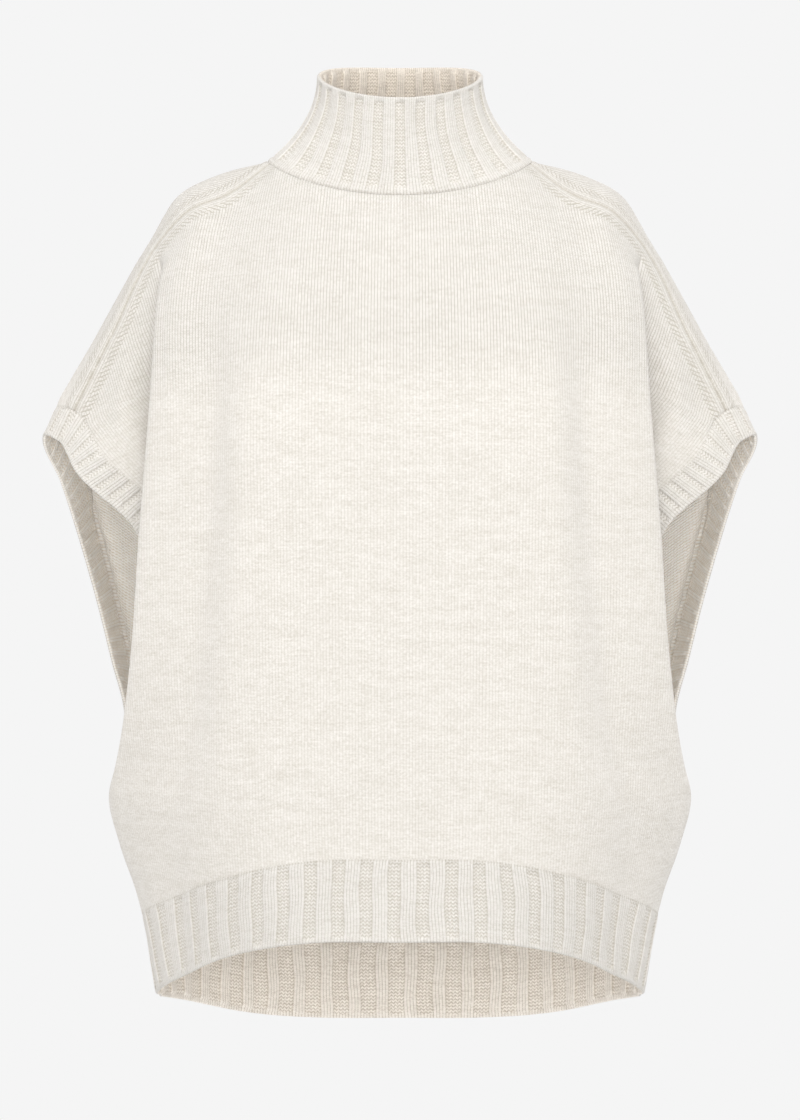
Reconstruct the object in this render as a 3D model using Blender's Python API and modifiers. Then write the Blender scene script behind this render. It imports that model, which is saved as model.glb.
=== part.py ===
"""Oversized funnel-neck sweater vest in its worn, hollow form.

Tables and sizes are in millimetres and the model is in metres. X is to the right, the front faces -Y
and Z is up. The origin is the point between the shoulders where a wearer's neck holds the garment, at
the height of the highest point of the shoulders. Every surface is the outer face of the cloth, and its
wall grows inwards.
"""

import math

import bmesh
import bpy
from mathutils import Vector

GARMENT = "sweater_vest"
MM = 0.001

BODY_WALL = 3.0
RIB_WALL = 4.0
SEAM_GAP = 0.3
ARMHOLE_RIB_GAP = 0.5
WELD_DISTANCE = 0.00001

HEM_RIB_HEIGHT = 70.0
FRONT_HEM_Z = -672.0
FRONT_HEM_Y = -145.0
HEM_SLOPE = 0.33
# The hem also drops a little more towards its sides, over this reach from the front.
HEM_SAG = 12.0
HEM_SAG_REACH = 240.0

# The base of the collar is an ellipse that dips at the front, and the rim is a smaller one that tilts.
NECK_HALF_WIDTH = 116.0
NECK_HALF_DEPTH = 72.0
NECK_CENTRE_Y = -20.0
NECK_FRONT_DIP = 36.0
NECK_BACK_RISE = 5.0
RIM_HALF_WIDTH = 72.0
RIM_HALF_DEPTH = 62.0
RIM_CENTRE_Y = -28.0
RIM_FRONT_Z = 48.0
RIM_BACK_Z = 88.0
RIM_TILT_POWER = 1.56
COLLAR_FLARE = 2.2
# Angles round the neck, in degrees from the front, where fold lines leave it; the last is the corner
# where the shoulder seam starts.
FRONT_NECK_ANGLES = (0, 33, 78)
BACK_NECK_ANGLES = (180, 148, 112, 78)

# The shoulder, from the neck to the end of the sleeve: the seam lies in front of the crest.
# seam x, y, z, then crest x, y, z
SHOULDER = (
    (113.5, -35, -3.4, 131, -10, -1),
    (150, -45, -31, 165, 0, -12.5),
    (183, -40, -44, 194, 3, -28),
    (208, -27, -68, 219, 4, -66),
    (252, -19, -151, 263, 3, -146),
    (288, -12, -222, 304, 9, -216),
    (299, -11, -245, 315, 5, -240),
)
ARMHOLE_RIB_WIDTH = 30.0

# Down the armhole: its free edge x, y, z, then the seam where its rib joins the panel x, y, z.
FRONT_ARMHOLE = (
    (285, -26, -270, 260, -34, -256),
    (226, -43, -333, 205, -43, -312),
    (226, -41, -390, 199, -39, -383),
    (231, -33, -445, 203, -33, -450),
    (242, -15, -492, 223, -23, -510),
    (245, 2, -521, 241, -8, -546),
)
BACK_ARMHOLE = (
    (303, 45, -280, 290, 50, -254),
    (288, 75, -334, 279, 100, -321),
    (273, 86, -390, 264, 113, -382),
    (260, 79, -440, 250, 107, -442),
    (247, 57, -484, 238, 82, -500),
    (246, 32, -516, 242, 40, -543),
)
UNDERARM = (247, 14, -533, 249.5, 12, -566)
# How soon a free edge turns down at the tip of the sleeve, between 0 and 1.
EDGE_TUCK = 0.7

# Where each fold line leaves the shoulder seam, as a distance from the neck. The front's are its ridge,
# turn, roll, fold, behind, tuck, under and sleeve, and the back's are its corner, blade, arm, upper and
# sleeve.
FRONT_SEAM_STARTS = (0, 48, 90, 112, 120, 132, 165, 215)
BACK_SEAM_STARTS = (0, 48, 90, 135, 205)
# Sections of the front half: at each height, x and y of its centre, middle, ridge, turn, roll, fold,
# behind, tuck, under and sleeve. The cloth hangs over the arm's place from the fold, and turns back
# behind it to the sleeve. A line that starts below a height has no place in that section.
FRONT_SECTIONS = {
    -110: ((0, -123), (64, -119), (125, -103), (163, -84), (200, -66), (209, -52), (208, -48), (202, -45.8),
           None, None),
    -226: ((0, -139), (64, -138), (134, -128), (167, -102), (201, -84), (217, -69), (209.5, -56),
           (189, -46.5), (211, -38), (238, -40)),
    -330: ((0, -141), (66, -140), (139, -131), (173, -106), (208.5, -86), (225, -72), (217, -60),
           (173, -52), (174, -44), (186, -42.5)),
    -430: ((0, -142), (68, -141), (147, -130), (183, -104), (218, -82), (232, -68), (224.5, -56),
           (177.5, -49.5), (174, -40), (186, -35)),
    -500: ((0, -143), (70, -142), (153, -126), (191, -96), (227, -68), (241.5, -51), (237.5, -40),
           (205.5, -38.5), (194, -33), (202, -28)),
    -530: ((0, -143), (71, -143), (157, -124), (198, -89), (234.5, -55), (248, -37), (248, -28), (228, -27),
           (217, -25), (221, -21)),
    -556: ((0, -143), (72, -143), (161, -121), (202, -84), (240.5, -45), (254, -22.5), (254.5, -16),
           (250.5, -14), (243.5, -13), (241.5, -9)),
    -598: ((0, -143), (74, -143), (165, -113), (197, -78), (230.5, -42), (244.3, -20), (245.8, -13),
           (245.5, -7), (243.5, -1), (242, 5)),
    -640: ((0, -144), (76, -143), (166, -103), (190.5, -73), (217, -42), (229.5, -17), (231.5, -10),
           (231.5, -4), (230.5, 1), (229, 7)),
    "hem": ((0, -145), (78, -142), (161, -93), (184, -66), (202.5, -41), (211.5, -19), (213, -12),
            (214, -6), (214.5, 0), (214, 7)),
}
# The same for the back: its centre, middle, neck, corner, blade, arm, upper and sleeve.
BACK_SECTIONS = {
    -60: ((0, 86), (62, 84), (104, 74), (140, 56), (172, 40), (208, 24), None, None),
    -140: ((0, 104), (64, 103), (108, 97), (144, 87), (177, 74), (210, 60), (245, 47), None),
    -226: ((0, 113), (66, 113), (110, 110), (148, 104), (182, 95), (217, 84), (248, 74), (278, 56)),
    -330: ((0, 118), (66, 119), (110, 117), (148, 111), (182, 108), (215, 110), (240, 109), (260, 105)),
    -430: ((0, 123), (67, 125), (111, 122), (149, 115), (181, 113), (206, 116), (222, 116), (235, 112)),
    -500: ((0, 127), (69, 129), (113, 125), (149, 117), (180, 110), (203, 106), (217, 100), (228, 90)),
    -556: ((0, 131), (72, 132), (115, 126), (149, 115), (179, 102), (204, 86), (225, 66), (241, 42)),
    -640: ((0, 138), (76, 137), (118, 129), (149, 114), (176, 94), (198, 72), (214, 50), (223, 31)),
    "hem": ((0, 148), (80, 146), (118, 136), (149, 118), (174, 94), (193, 69), (205, 47), (211, 29)),
}
# The way the panels leave the neckline at each of those angles before the corner.
FRONT_NECK_WAYS = ((0, -0.5, -0.87), (0.05, -0.55, -0.83))
BACK_NECK_WAYS = ((0, 0.85, -0.5), (0.05, 0.9, -0.4), (0.2, 1, -0.05))

# The side seam below the underarm; its last station is on the hem.
SIDE_SEAM = ((227.5, 14, -640), (212.5, 15, None))

# Cells between neighbouring fold lines, first round the neck and then along the shoulder seam.
FRONT_NECK_CELLS = (3, 3)
BACK_NECK_CELLS = (2, 2, 2)
SHOULDER_CELLS = (3, 2, 1, 2, 2, 1, 2, 3)
# Rows of cells beside the armhole, below it and in each rib.
FRONT_ARMHOLE_ROWS = 12
BACK_ARMHOLE_ROWS = 15
SIDE_SEAM_ROWS = 4
HEM_RIB_ROWS = 2
COLLAR_ROWS = 5
ARMHOLE_RIB_ROWS = 2
FIRST_ROW_HEIGHT = 3.0
# How far the rows beside the armhole crowd towards both of its ends.
FRONT_CROWDING = 0.07
BACK_CROWDING = 0.12
# How far from the armhole rib's seam the cloth starts to bend.
BESIDE_SEAM = 4.0
# How far the panels' first way leans along the shoulder seam at the neck, and where that ends.
NECK_LEAN = 0.4
LEAN_REACH = 60.0
HALVINGS = 30
UNDERARM_BLEND = 60.0
STEPS_PER_SPAN = 12

CREAM = (0.86, 0.83, 0.77, 1.0)
RIB_CREAM = (0.84, 0.81, 0.75, 1.0)


class Curve:
    """A smooth curve through a few stations, which can be read by span or by distance along it.

    held gives the way that the curve runs at some of its stations, by their index.
    """

    def __init__(self, stations, held=None):
        self.points = [Vector(station) for station in stations]
        self.runs = [(far - near).length for near, far in zip(self.points, self.points[1:])]
        self.ways = self.find_ways(held or {})
        self.distances = [0.0]
        last = self.points[0]
        for span in range(len(self.runs)):
            for step in range(1, STEPS_PER_SPAN + 1):
                point = self.at(span, step / STEPS_PER_SPAN)
                self.distances.append(self.distances[-1] + (point - last).length)
                last = point
        self.length = self.distances[-1]

    def find_ways(self, held):
        slopes = []
        for index, run in enumerate(self.runs):
            slopes.append((self.points[index + 1] - self.points[index]) / run)
        ways = [slopes[0]]
        for index in range(1, len(slopes)):
            before, after = self.runs[index - 1], self.runs[index]
            ways.append((slopes[index - 1] * after + slopes[index] * before) / (before + after))
        ways.append(slopes[-1])
        for index, way in held.items():
            ways[index] = Vector(way).normalized()
        return ways

    def at(self, span, share):
        run = self.runs[span]
        square = share * share
        cube = square * share
        return (
            self.points[span] * (2 * cube - 3 * square + 1)
            + self.ways[span] * ((cube - 2 * square + share) * run)
            + self.points[span + 1] * (3 * square - 2 * cube)
            + self.ways[span + 1] * ((cube - square) * run)
        )

    def locate(self, distance):
        """The span and the share of it at a distance along the curve."""
        distance = min(max(distance, 0.0), self.length)
        step = 1
        while step < len(self.distances) - 1 and self.distances[step] < distance:
            step += 1
        run = self.distances[step] - self.distances[step - 1]
        place = (step - 1 + (distance - self.distances[step - 1]) / run) / STEPS_PER_SPAN
        span = min(int(place), len(self.runs) - 1)
        return span, place - span

    def along(self, distance):
        return self.at(*self.locate(distance))


class SideLine:
    """The line a panel ends on: down its armhole rib's seam to the underarm, then down the side seam."""

    def __init__(self, rib_seam, side_seam):
        self.rib_seam = rib_seam
        self.side_seam = side_seam
        self.underarm = rib_seam.length
        self.length = rib_seam.length + side_seam.length

    def along(self, distance):
        if distance <= self.underarm:
            return self.rib_seam.along(distance)
        return self.side_seam.along(distance - self.underarm)

    def way(self, distance):
        return (self.along(distance + 1.0) - self.along(max(distance - 1.0, 0.0))).normalized()

    def distance_down_to(self, height):
        high, low = 0.0, self.length
        for _ in range(HALVINGS):
            middle = (high + low) / 2
            if self.along(middle).z > height:
                high = middle
            else:
                low = middle
        return low


def hem_height(y):
    back = y - FRONT_HEM_Y
    sag = math.sin(math.pi * min(max(back / HEM_SAG_REACH, 0.0), 1.0)) ** 2
    return FRONT_HEM_Z - HEM_SLOPE * back - HEM_SAG * sag


def neckline(angle):
    """The seam between the collar and the panels; the angle is 0 at the front and pi at the back."""
    ahead = math.cos(angle)
    if ahead > 0:
        z = -NECK_FRONT_DIP * ahead**1.5
    else:
        z = NECK_BACK_RISE * ahead**2
    return Vector((NECK_HALF_WIDTH * math.sin(angle), NECK_CENTRE_Y - NECK_HALF_DEPTH * ahead, z))


def collar_point(angle, rise):
    """A point of the collar; the rise is 0 at the neckline and 1 at the rim."""
    flare = (1 - rise) ** COLLAR_FLARE
    half_width = RIM_HALF_WIDTH + (NECK_HALF_WIDTH - RIM_HALF_WIDTH) * flare
    half_depth = RIM_HALF_DEPTH + (NECK_HALF_DEPTH - RIM_HALF_DEPTH) * flare
    centre_y = RIM_CENTRE_Y + (NECK_CENTRE_Y - RIM_CENTRE_Y) * flare
    front_share = (1 + math.cos(angle)) / 2
    rim_z = RIM_BACK_Z - (RIM_BACK_Z - RIM_FRONT_Z) * front_share**RIM_TILT_POWER
    base_z = neckline(angle).z
    x = half_width * math.sin(angle)
    y = centre_y - half_depth * math.cos(angle)
    return Vector((x, y, base_z + (rim_z - base_z) * rise))


class Shoulder:
    """The shoulder seam with the crest behind it."""

    def __init__(self):
        self.seam = Curve([row[:3] for row in SHOULDER])
        self.crest = Curve([row[3:] for row in SHOULDER])
        self.rib_start = self.seam.length - ARMHOLE_RIB_WIDTH
        corner = math.radians(FRONT_NECK_ANGLES[-1])
        self.neck_way = (neckline(corner - 0.01) - neckline(corner)).normalized()

    def crest_by(self, distance):
        return self.crest.along(distance / self.seam.length * self.crest.length)

    def way_down(self, distance, over_crest):
        """The way a panel leaves the seam: square to it, but between it and the neckline at the neck."""
        nudge = min(distance, self.seam.length - 1.0)
        along = (self.seam.along(nudge + 1.0) - self.seam.along(nudge)).normalized()
        forward = Vector((0, -1, 0))
        forward = (forward - along * forward.dot(along)).normalized()
        chord = self.seam.along(distance) - self.crest_by(distance)
        chord = (chord - along * chord.dot(along)).normalized()
        crossing = chord * 2 * forward.dot(chord) - forward
        lean = NECK_LEAN * max(0.0, 1 - distance / LEAN_REACH)
        crossing = crossing.lerp(self.neck_way, lean / NECK_LEAN).normalized()
        if over_crest:
            crossing = -crossing
        return (crossing + along * lean).normalized()

    def columns(self):
        """How far along the seam each column of both panels starts."""
        stops = [*FRONT_SEAM_STARTS, self.rib_start - BESIDE_SEAM]
        columns = []
        for span, count in enumerate(SHOULDER_CELLS):
            for cell in range(count):
                columns.append(stops[span] + (stops[span + 1] - stops[span]) * cell / count)
        return [*columns, stops[-1]]


class Panel:
    """One half of the front or the back: columns that run down from its top edge to the hem.

    A column is placed by its span between two fold lines and by its share of that span, and passes
    through every section at that place.
    """

    def __init__(self, shape, over_crest):
        self.shape = shape
        self.over_crest = over_crest
        self.shoulder = Shoulder()
        self.side_way = Vector((0.0, 1.0, -HEM_SLOPE)).normalized() * (-1 if over_crest else 1)
        self.add_outer_lines()
        self.sections = [self.section(height) for height in shape["sections"]]
        self.columns = self.neck_columns() + self.shoulder_columns()

    def add_outer_lines(self):
        """The rib seam beside the armhole, which the side seam goes on from, and the free edge."""
        shoulder = self.shoulder
        ends = []
        for distance in (shoulder.rib_start, shoulder.seam.length):
            start = [shoulder.seam.along(distance)]
            if self.over_crest:
                start.append(shoulder.crest_by(distance))
            ends.append((start, shoulder.way_down(distance, self.over_crest)))
        (seam_start, seam_way), (edge_start, edge_way) = ends
        rows = (*self.shape["armhole"], UNDERARM)
        down = (Vector(rows[0][:3]) - edge_start[-1]).normalized()
        edge_ways = {0: edge_way}
        edge_ways[len(edge_start) - 1] = edge_way.lerp(down, EDGE_TUCK).normalized()
        rib_seam = Curve([*seam_start, *[row[3:] for row in rows]], {0: seam_way})
        below = [(x, y, hem_height(y) if z is None else z) for x, y, z in SIDE_SEAM]
        self.outer = SideLine(rib_seam, Curve([rib_seam.points[-1], *below]))
        self.edge = Curve([*edge_start, *[row[:3] for row in rows]], edge_ways)

    def section(self, height):
        """The curve across the half at one height, out to the side where the shoulder is above it."""
        stations = []
        for point in self.shape["sections"][height]:
            if point is not None:
                stations.append((*point, hem_height(point[1]) if height == "hem" else height))
        held = {0: (1, 0, 0)}
        if height == "hem":
            stations.append(self.outer.along(self.outer.length))
            held[len(stations) - 1] = self.side_way
        elif height < self.outer.along(0.0).z:
            distance = self.outer.distance_down_to(height)
            stations.append(self.outer.along(distance))
            held[len(stations) - 1] = self.outward_way(distance)
        return Curve(stations, held)

    def column(self, start, way, span, share):
        """The curve of one column, from its first stations through every section that it meets."""
        stations = list(start)
        for section in self.sections:
            if span + (share > 0) < len(section.points):
                point = section.at(min(span, len(section.runs) - 1), share if span < len(section.runs) else 1)
                if point.z < stations[-1].z:
                    stations.append(point)
        return Curve(stations, {0: way})

    def neck_columns(self):
        columns = []
        angles = [math.radians(angle) for angle in self.shape["neck_angles"]]
        corner_way = self.shoulder.way_down(0.0, self.over_crest)
        ways = [*[Vector(way).normalized() for way in self.shape["neck_ways"]], corner_way]
        for span, count in enumerate(self.shape["neck_cells"]):
            for cell in range(count):
                share = cell / count
                top = neckline(angles[span] + (angles[span + 1] - angles[span]) * share)
                way = ways[span].lerp(ways[span + 1], share)
                columns.append(self.column([top], way, span, share))
        return columns

    def shoulder_columns(self):
        columns = []
        neck_spans = len(self.shape["neck_cells"])
        stops = [*self.shape["seam_starts"], self.shoulder.rib_start]
        for distance in self.shoulder.columns():
            span = 0
            while distance >= stops[span + 1]:
                span += 1
            share = (distance - stops[span]) / (stops[span + 1] - stops[span])
            start = [self.shoulder.seam.along(distance)]
            if self.over_crest:
                start.append(self.shoulder.crest_by(distance))
            way = self.shoulder.way_down(distance, self.over_crest)
            columns.append(self.column(start, way, neck_spans + span, share))
        return columns

    def armhole_distances(self):
        """How far down the armhole rib's seam each row ends, crowded towards both ends of the seam."""
        rows = self.shape["armhole_rows"]
        distances = []
        for row in range(rows + 1):
            share = row / rows
            share -= self.shape["crowding"] * math.sin(2 * math.pi * share)
            distances.append(self.outer.underarm * share)
        return distances

    def row_distances(self):
        """How far down the outer line each row of the panel ends."""
        distances = self.armhole_distances()
        bottom = self.outer.length - HEM_RIB_HEIGHT - SEAM_GAP / 2
        for row in range(1, SIDE_SEAM_ROWS + 1):
            distances.append(self.outer.underarm + (bottom - self.outer.underarm) * row / SIDE_SEAM_ROWS)
        return distances

    def across_rib(self, distance):
        """The armhole rib's seam at a distance down the outer line, and its free edge beside that."""
        place = self.outer.rib_seam.locate(distance)
        return self.outer.rib_seam.at(*place), self.edge.at(*place)

    def outward_way(self, distance):
        """The way the cloth runs where it meets the armhole rib or the side seam."""
        left = self.outer.underarm - distance
        if left <= 0:
            return self.side_way
        seam, edge = self.across_rib(distance)
        along = self.outer.way(distance)
        across = edge - seam
        across = (across - along * across.dot(along)).normalized()
        return across.lerp(self.side_way, max(0.0, 1 - left / UNDERARM_BLEND)).normalized()

    def row(self, distance, find):
        """A row that ends at a distance down the outer line; find gives each column's own distance."""
        filled = SHOULDER_CELLS[-1]
        points = [column.along(find(column)) for column in self.columns[:-filled]]
        points[0].x = 0.0
        end = self.outer.along(distance)
        way = self.outward_way(distance)
        last_span = Curve([*points[-2:], end - way * BESIDE_SEAM], {2: way})
        for cell in range(1, filled + 1):
            points.append(last_span.at(1, cell / filled))
        points.append(end - way * (SEAM_GAP / 2))
        return points

    def edge_row(self, below):
        """A row just below the top edge, straight down each column's first way."""
        points = [column.points[0] + column.ways[0] * below for column in self.columns]
        points[0].x = 0.0
        points.append(self.outer.along(below) - self.outward_way(below) * (SEAM_GAP / 2))
        return points

    def panel_rows(self):
        rows = [self.edge_row(SEAM_GAP / 2), self.edge_row(FIRST_ROW_HEIGHT)]
        whole = self.outer.length - HEM_RIB_HEIGHT
        for distance in self.row_distances()[1:]:
            share = distance / whole
            rows.append(self.row(distance, lambda column: (column.length - HEM_RIB_HEIGHT) * share))
        return rows

    def hem_rib_rows(self):
        rows = []
        above = HEM_RIB_HEIGHT - SEAM_GAP / 2
        for row in range(HEM_RIB_ROWS + 1):
            left = above * (1 - row / HEM_RIB_ROWS)
            rows.append(self.row(self.outer.length - left, lambda column: column.length - left))
        return rows


FRONT_SHAPE = {
    "neck_angles": FRONT_NECK_ANGLES,
    "neck_cells": FRONT_NECK_CELLS,
    "neck_ways": FRONT_NECK_WAYS,
    "seam_starts": FRONT_SEAM_STARTS,
    "sections": FRONT_SECTIONS,
    "armhole": FRONT_ARMHOLE,
    "armhole_rows": FRONT_ARMHOLE_ROWS,
    "crowding": FRONT_CROWDING,
}
BACK_SHAPE = {
    "neck_angles": BACK_NECK_ANGLES,
    "neck_cells": BACK_NECK_CELLS,
    "neck_ways": BACK_NECK_WAYS,
    "seam_starts": BACK_SEAM_STARTS,
    "sections": BACK_SECTIONS,
    "armhole": BACK_ARMHOLE,
    "armhole_rows": BACK_ARMHOLE_ROWS,
    "crowding": BACK_CROWDING,
}


def collar_angles():
    """The angles of the collar's columns, which are those of the panels below it."""
    angles = []
    for stops, cells in ((FRONT_NECK_ANGLES, FRONT_NECK_CELLS),
                         (BACK_NECK_ANGLES[::-1], BACK_NECK_CELLS[::-1])):
        for span, count in enumerate(cells):
            for cell in range(count):
                angles.append(stops[span] + (stops[span + 1] - stops[span]) * cell / count)
    angles.append(BACK_NECK_ANGLES[0])
    return [math.radians(angle) for angle in angles]


def collar_rows():
    rows = []
    lowest = SEAM_GAP / (RIM_BACK_Z - NECK_BACK_RISE)
    for row in range(COLLAR_ROWS + 1):
        rise = lowest + (1 - lowest) * row / COLLAR_ROWS
        points = [collar_point(angle, rise) for angle in collar_angles()]
        points[0].x = 0.0
        points[-1].x = 0.0
        rows.append(points)
    return rows


def armhole_ring(front, back):
    """Pairs of points round an armhole, on the rib's seam and on its free edge."""
    down_front = [0.0, FIRST_ROW_HEIGHT, *front.armhole_distances()[1:]]
    up_back = [*back.armhole_distances()[-2:0:-1], FIRST_ROW_HEIGHT]
    pairs = [front.across_rib(distance) for distance in down_front]
    return pairs + [back.across_rib(distance) for distance in up_back]


def armhole_rib_rows(front, back, side):
    """Rows from the rib's seam to its free edge, the first two close together."""
    ring = armhole_ring(front, back)
    rows = []
    for row in range(ARMHOLE_RIB_ROWS + 2):
        points = []
        for seam, edge in ring:
            width = (edge - seam).length
            across = ARMHOLE_RIB_GAP
            if row > 0:
                across = BESIDE_SEAM + (width - BESIDE_SEAM) * (row - 1) / ARMHOLE_RIB_ROWS
            point = seam.lerp(edge, across / width)
            point.x *= side
            points.append(point)
        rows.append(points)
    return rows


def lay_grid(rows, closed, inside_out):
    """A grid of faces laid on rows of points; a closed one joins its last column to its first."""
    mesh = bmesh.new()
    columns = len(rows[0])
    spans = columns if closed else columns - 1
    bmesh.ops.create_grid(mesh, x_segments=spans, y_segments=len(rows) - 1, size=0.5)
    for vert in mesh.verts:
        column = round((vert.co.x + 0.5) * spans) % columns
        row = round((vert.co.y + 0.5) * (len(rows) - 1))
        vert.co = rows[row][column] * MM
    if closed:
        bmesh.ops.remove_doubles(mesh, verts=mesh.verts, dist=WELD_DISTANCE)
    if inside_out:
        bmesh.ops.reverse_faces(mesh, faces=mesh.faces)
    return mesh


def add_piece(name, rows, wall, material, collection, closed=False, inside_out=False):
    grid = lay_grid(rows, closed, inside_out)
    mesh = bpy.data.meshes.new(name)
    grid.to_mesh(mesh)
    grid.free()
    mesh.shade_smooth()
    mesh.materials.append(material)
    piece = bpy.data.objects.new(name, mesh)
    collection.objects.link(piece)
    if not closed:
        mirror = piece.modifiers.new("other_half", "MIRROR")
        mirror.merge_threshold = WELD_DISTANCE
    solidify = piece.modifiers.new("wall", "SOLIDIFY")
    solidify.thickness = wall * MM
    solidify.offset = -1
    triangulate = piece.modifiers.new("facets", "TRIANGULATE")
    triangulate.quad_method = "SHORTEST_DIAGONAL"
    return piece


def knit_material(name, colour, roughness):
    material = bpy.data.materials.new(name)
    material.use_nodes = True
    shader = material.node_tree.nodes["Principled BSDF"]
    shader.inputs["Base Color"].default_value = colour
    shader.inputs["Roughness"].default_value = roughness
    shader.inputs["Metallic"].default_value = 0.0
    return material


def add_panels(front, back, collection):
    front_knit = knit_material("front_knit", CREAM, 0.9)
    back_knit = knit_material("back_knit", CREAM, 0.9)
    add_piece("front_panel", front.panel_rows(), BODY_WALL, front_knit, collection, inside_out=True)
    add_piece("back_panel", back.panel_rows(), BODY_WALL, back_knit, collection)


def add_hem_ribs(front, back, collection):
    front_knit = knit_material("front_hem_knit", RIB_CREAM, 0.92)
    back_knit = knit_material("back_hem_knit", RIB_CREAM, 0.92)
    add_piece("front_hem_rib", front.hem_rib_rows(), RIB_WALL, front_knit, collection, inside_out=True)
    add_piece("back_hem_rib", back.hem_rib_rows(), RIB_WALL, back_knit, collection)


def add_collar(collection):
    material = knit_material("collar_knit", RIB_CREAM, 0.92)
    add_piece("collar", collar_rows(), RIB_WALL, material, collection)


def add_armhole_ribs(front, back, collection):
    for name, side in (("left_armhole_rib", 1), ("right_armhole_rib", -1)):
        material = knit_material(name + "_knit", RIB_CREAM, 0.92)
        rows = armhole_rib_rows(front, back, side)
        add_piece(name, rows, RIB_WALL, material, collection, closed=True, inside_out=side < 0)


def main():
    for old in list(bpy.data.objects):
        bpy.data.objects.remove(old, do_unlink=True)
    collection = bpy.data.collections.new(GARMENT)
    bpy.context.scene.collection.children.link(collection)
    front = Panel(FRONT_SHAPE, over_crest=False)
    back = Panel(BACK_SHAPE, over_crest=True)
    add_panels(front, back, collection)
    add_hem_ribs(front, back, collection)
    add_collar(collection)
    add_armhole_ribs(front, back, collection)


main()
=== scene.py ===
"""The looks of an oversized funnel-neck sweater vest, knitted in pale oatmeal wool.

Each knitted piece starts as a flat grid of rows and columns. The grid is laid on the garment's worn form,
rolled in at its seams, creased or ribbed, and given its wall. Sizes and tables are in millimetres and the
model is in metres. X is to the wearer's left, the front faces -Y and Z is up.
"""

import math

import bpy
import numpy as np
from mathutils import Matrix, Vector
from mathutils.bvhtree import BVHTree


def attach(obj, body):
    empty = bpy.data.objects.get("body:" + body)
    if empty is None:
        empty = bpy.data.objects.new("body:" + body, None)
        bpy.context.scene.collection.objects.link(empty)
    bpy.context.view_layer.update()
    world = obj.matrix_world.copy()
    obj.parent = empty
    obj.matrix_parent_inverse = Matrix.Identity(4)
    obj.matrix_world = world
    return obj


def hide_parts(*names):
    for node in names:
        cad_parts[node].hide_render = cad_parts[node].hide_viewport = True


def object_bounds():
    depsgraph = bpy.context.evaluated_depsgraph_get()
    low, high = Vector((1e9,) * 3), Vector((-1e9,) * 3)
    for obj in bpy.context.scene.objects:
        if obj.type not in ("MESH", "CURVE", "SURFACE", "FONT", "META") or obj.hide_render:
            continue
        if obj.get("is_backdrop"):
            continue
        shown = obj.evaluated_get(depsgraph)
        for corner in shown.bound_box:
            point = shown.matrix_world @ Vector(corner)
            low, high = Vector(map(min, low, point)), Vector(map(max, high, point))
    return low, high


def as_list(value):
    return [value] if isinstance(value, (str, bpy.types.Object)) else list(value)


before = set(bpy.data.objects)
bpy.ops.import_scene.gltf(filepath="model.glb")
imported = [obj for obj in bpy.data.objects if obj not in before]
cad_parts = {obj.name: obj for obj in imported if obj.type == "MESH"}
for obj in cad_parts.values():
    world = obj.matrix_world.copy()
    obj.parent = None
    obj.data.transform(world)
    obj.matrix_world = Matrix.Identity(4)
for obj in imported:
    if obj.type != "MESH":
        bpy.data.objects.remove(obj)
CAD_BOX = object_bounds()

MM = 0.001

# The hem: its rib's height, its front and how steeply it drops from there to the back.
HEM_RIB_HEIGHT = 70.0
FRONT_HEM_Z = -672.0
FRONT_HEM_Y = -145.0
HEM_SLOPE = 0.33
# The hem also drops a little more towards its sides, over this reach from the front.
HEM_SAG = 12.0
HEM_SAG_REACH = 240.0

# The base of the collar is an ellipse that dips at the front, and the rim is a smaller one that tilts.
NECK_HALF_WIDTH = 116.0
NECK_HALF_DEPTH = 72.0
NECK_CENTRE_Y = -20.0
NECK_FRONT_DIP = 36.0
NECK_BACK_RISE = 5.0
RIM_HALF_WIDTH = 72.0
RIM_HALF_DEPTH = 62.0
RIM_CENTRE_Y = -28.0
RIM_FRONT_Z = 48.0
RIM_BACK_Z = 88.0
RIM_TILT_POWER = 1.56
COLLAR_FLARE = 2.2
# The corner of the neck where the shoulder seam starts, in degrees from the front.
NECK_CORNER = 78

# The shoulder, from the neck to the end of the sleeve: the seam's x, y and z, then those of the crest
# behind it.
SHOULDER = (
    (113.5, -35, -3.4, 131, -10, -1),
    (150, -45, -31, 165, 0, -12.5),
    (183, -40, -44, 194, 3, -28),
    (208, -27, -68, 219, 4, -66),
    (252, -19, -151, 263, 3, -146),
    (288, -12, -222, 304, 9, -216),
    (299, -11, -245, 315, 5, -240),
)
ARMHOLE_RIB_WIDTH = 30.0

# Down the armhole: its free edge x, y, z, then the seam where its rib joins the panel x, y, z.
FRONT_ARMHOLE = (
    (285, -26, -270, 260, -34, -256),
    (226, -43, -333, 205, -43, -312),
    (226, -41, -390, 199, -39, -383),
    (231, -33, -445, 203, -33, -450),
    (242, -15, -492, 223, -23, -510),
    (245, 2, -521, 241, -8, -546),
)
BACK_ARMHOLE = (
    (303, 45, -280, 290, 50, -254),
    (288, 75, -334, 279, 100, -321),
    (273, 86, -390, 264, 113, -382),
    (260, 79, -440, 250, 107, -442),
    (247, 57, -484, 238, 82, -500),
    (246, 32, -516, 242, 40, -543),
)
UNDERARM = (247, 14, -533, 249.5, 12, -566)
# How soon a free edge turns down at the tip of the sleeve, between 0 and 1.
EDGE_TUCK = 0.7

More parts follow.
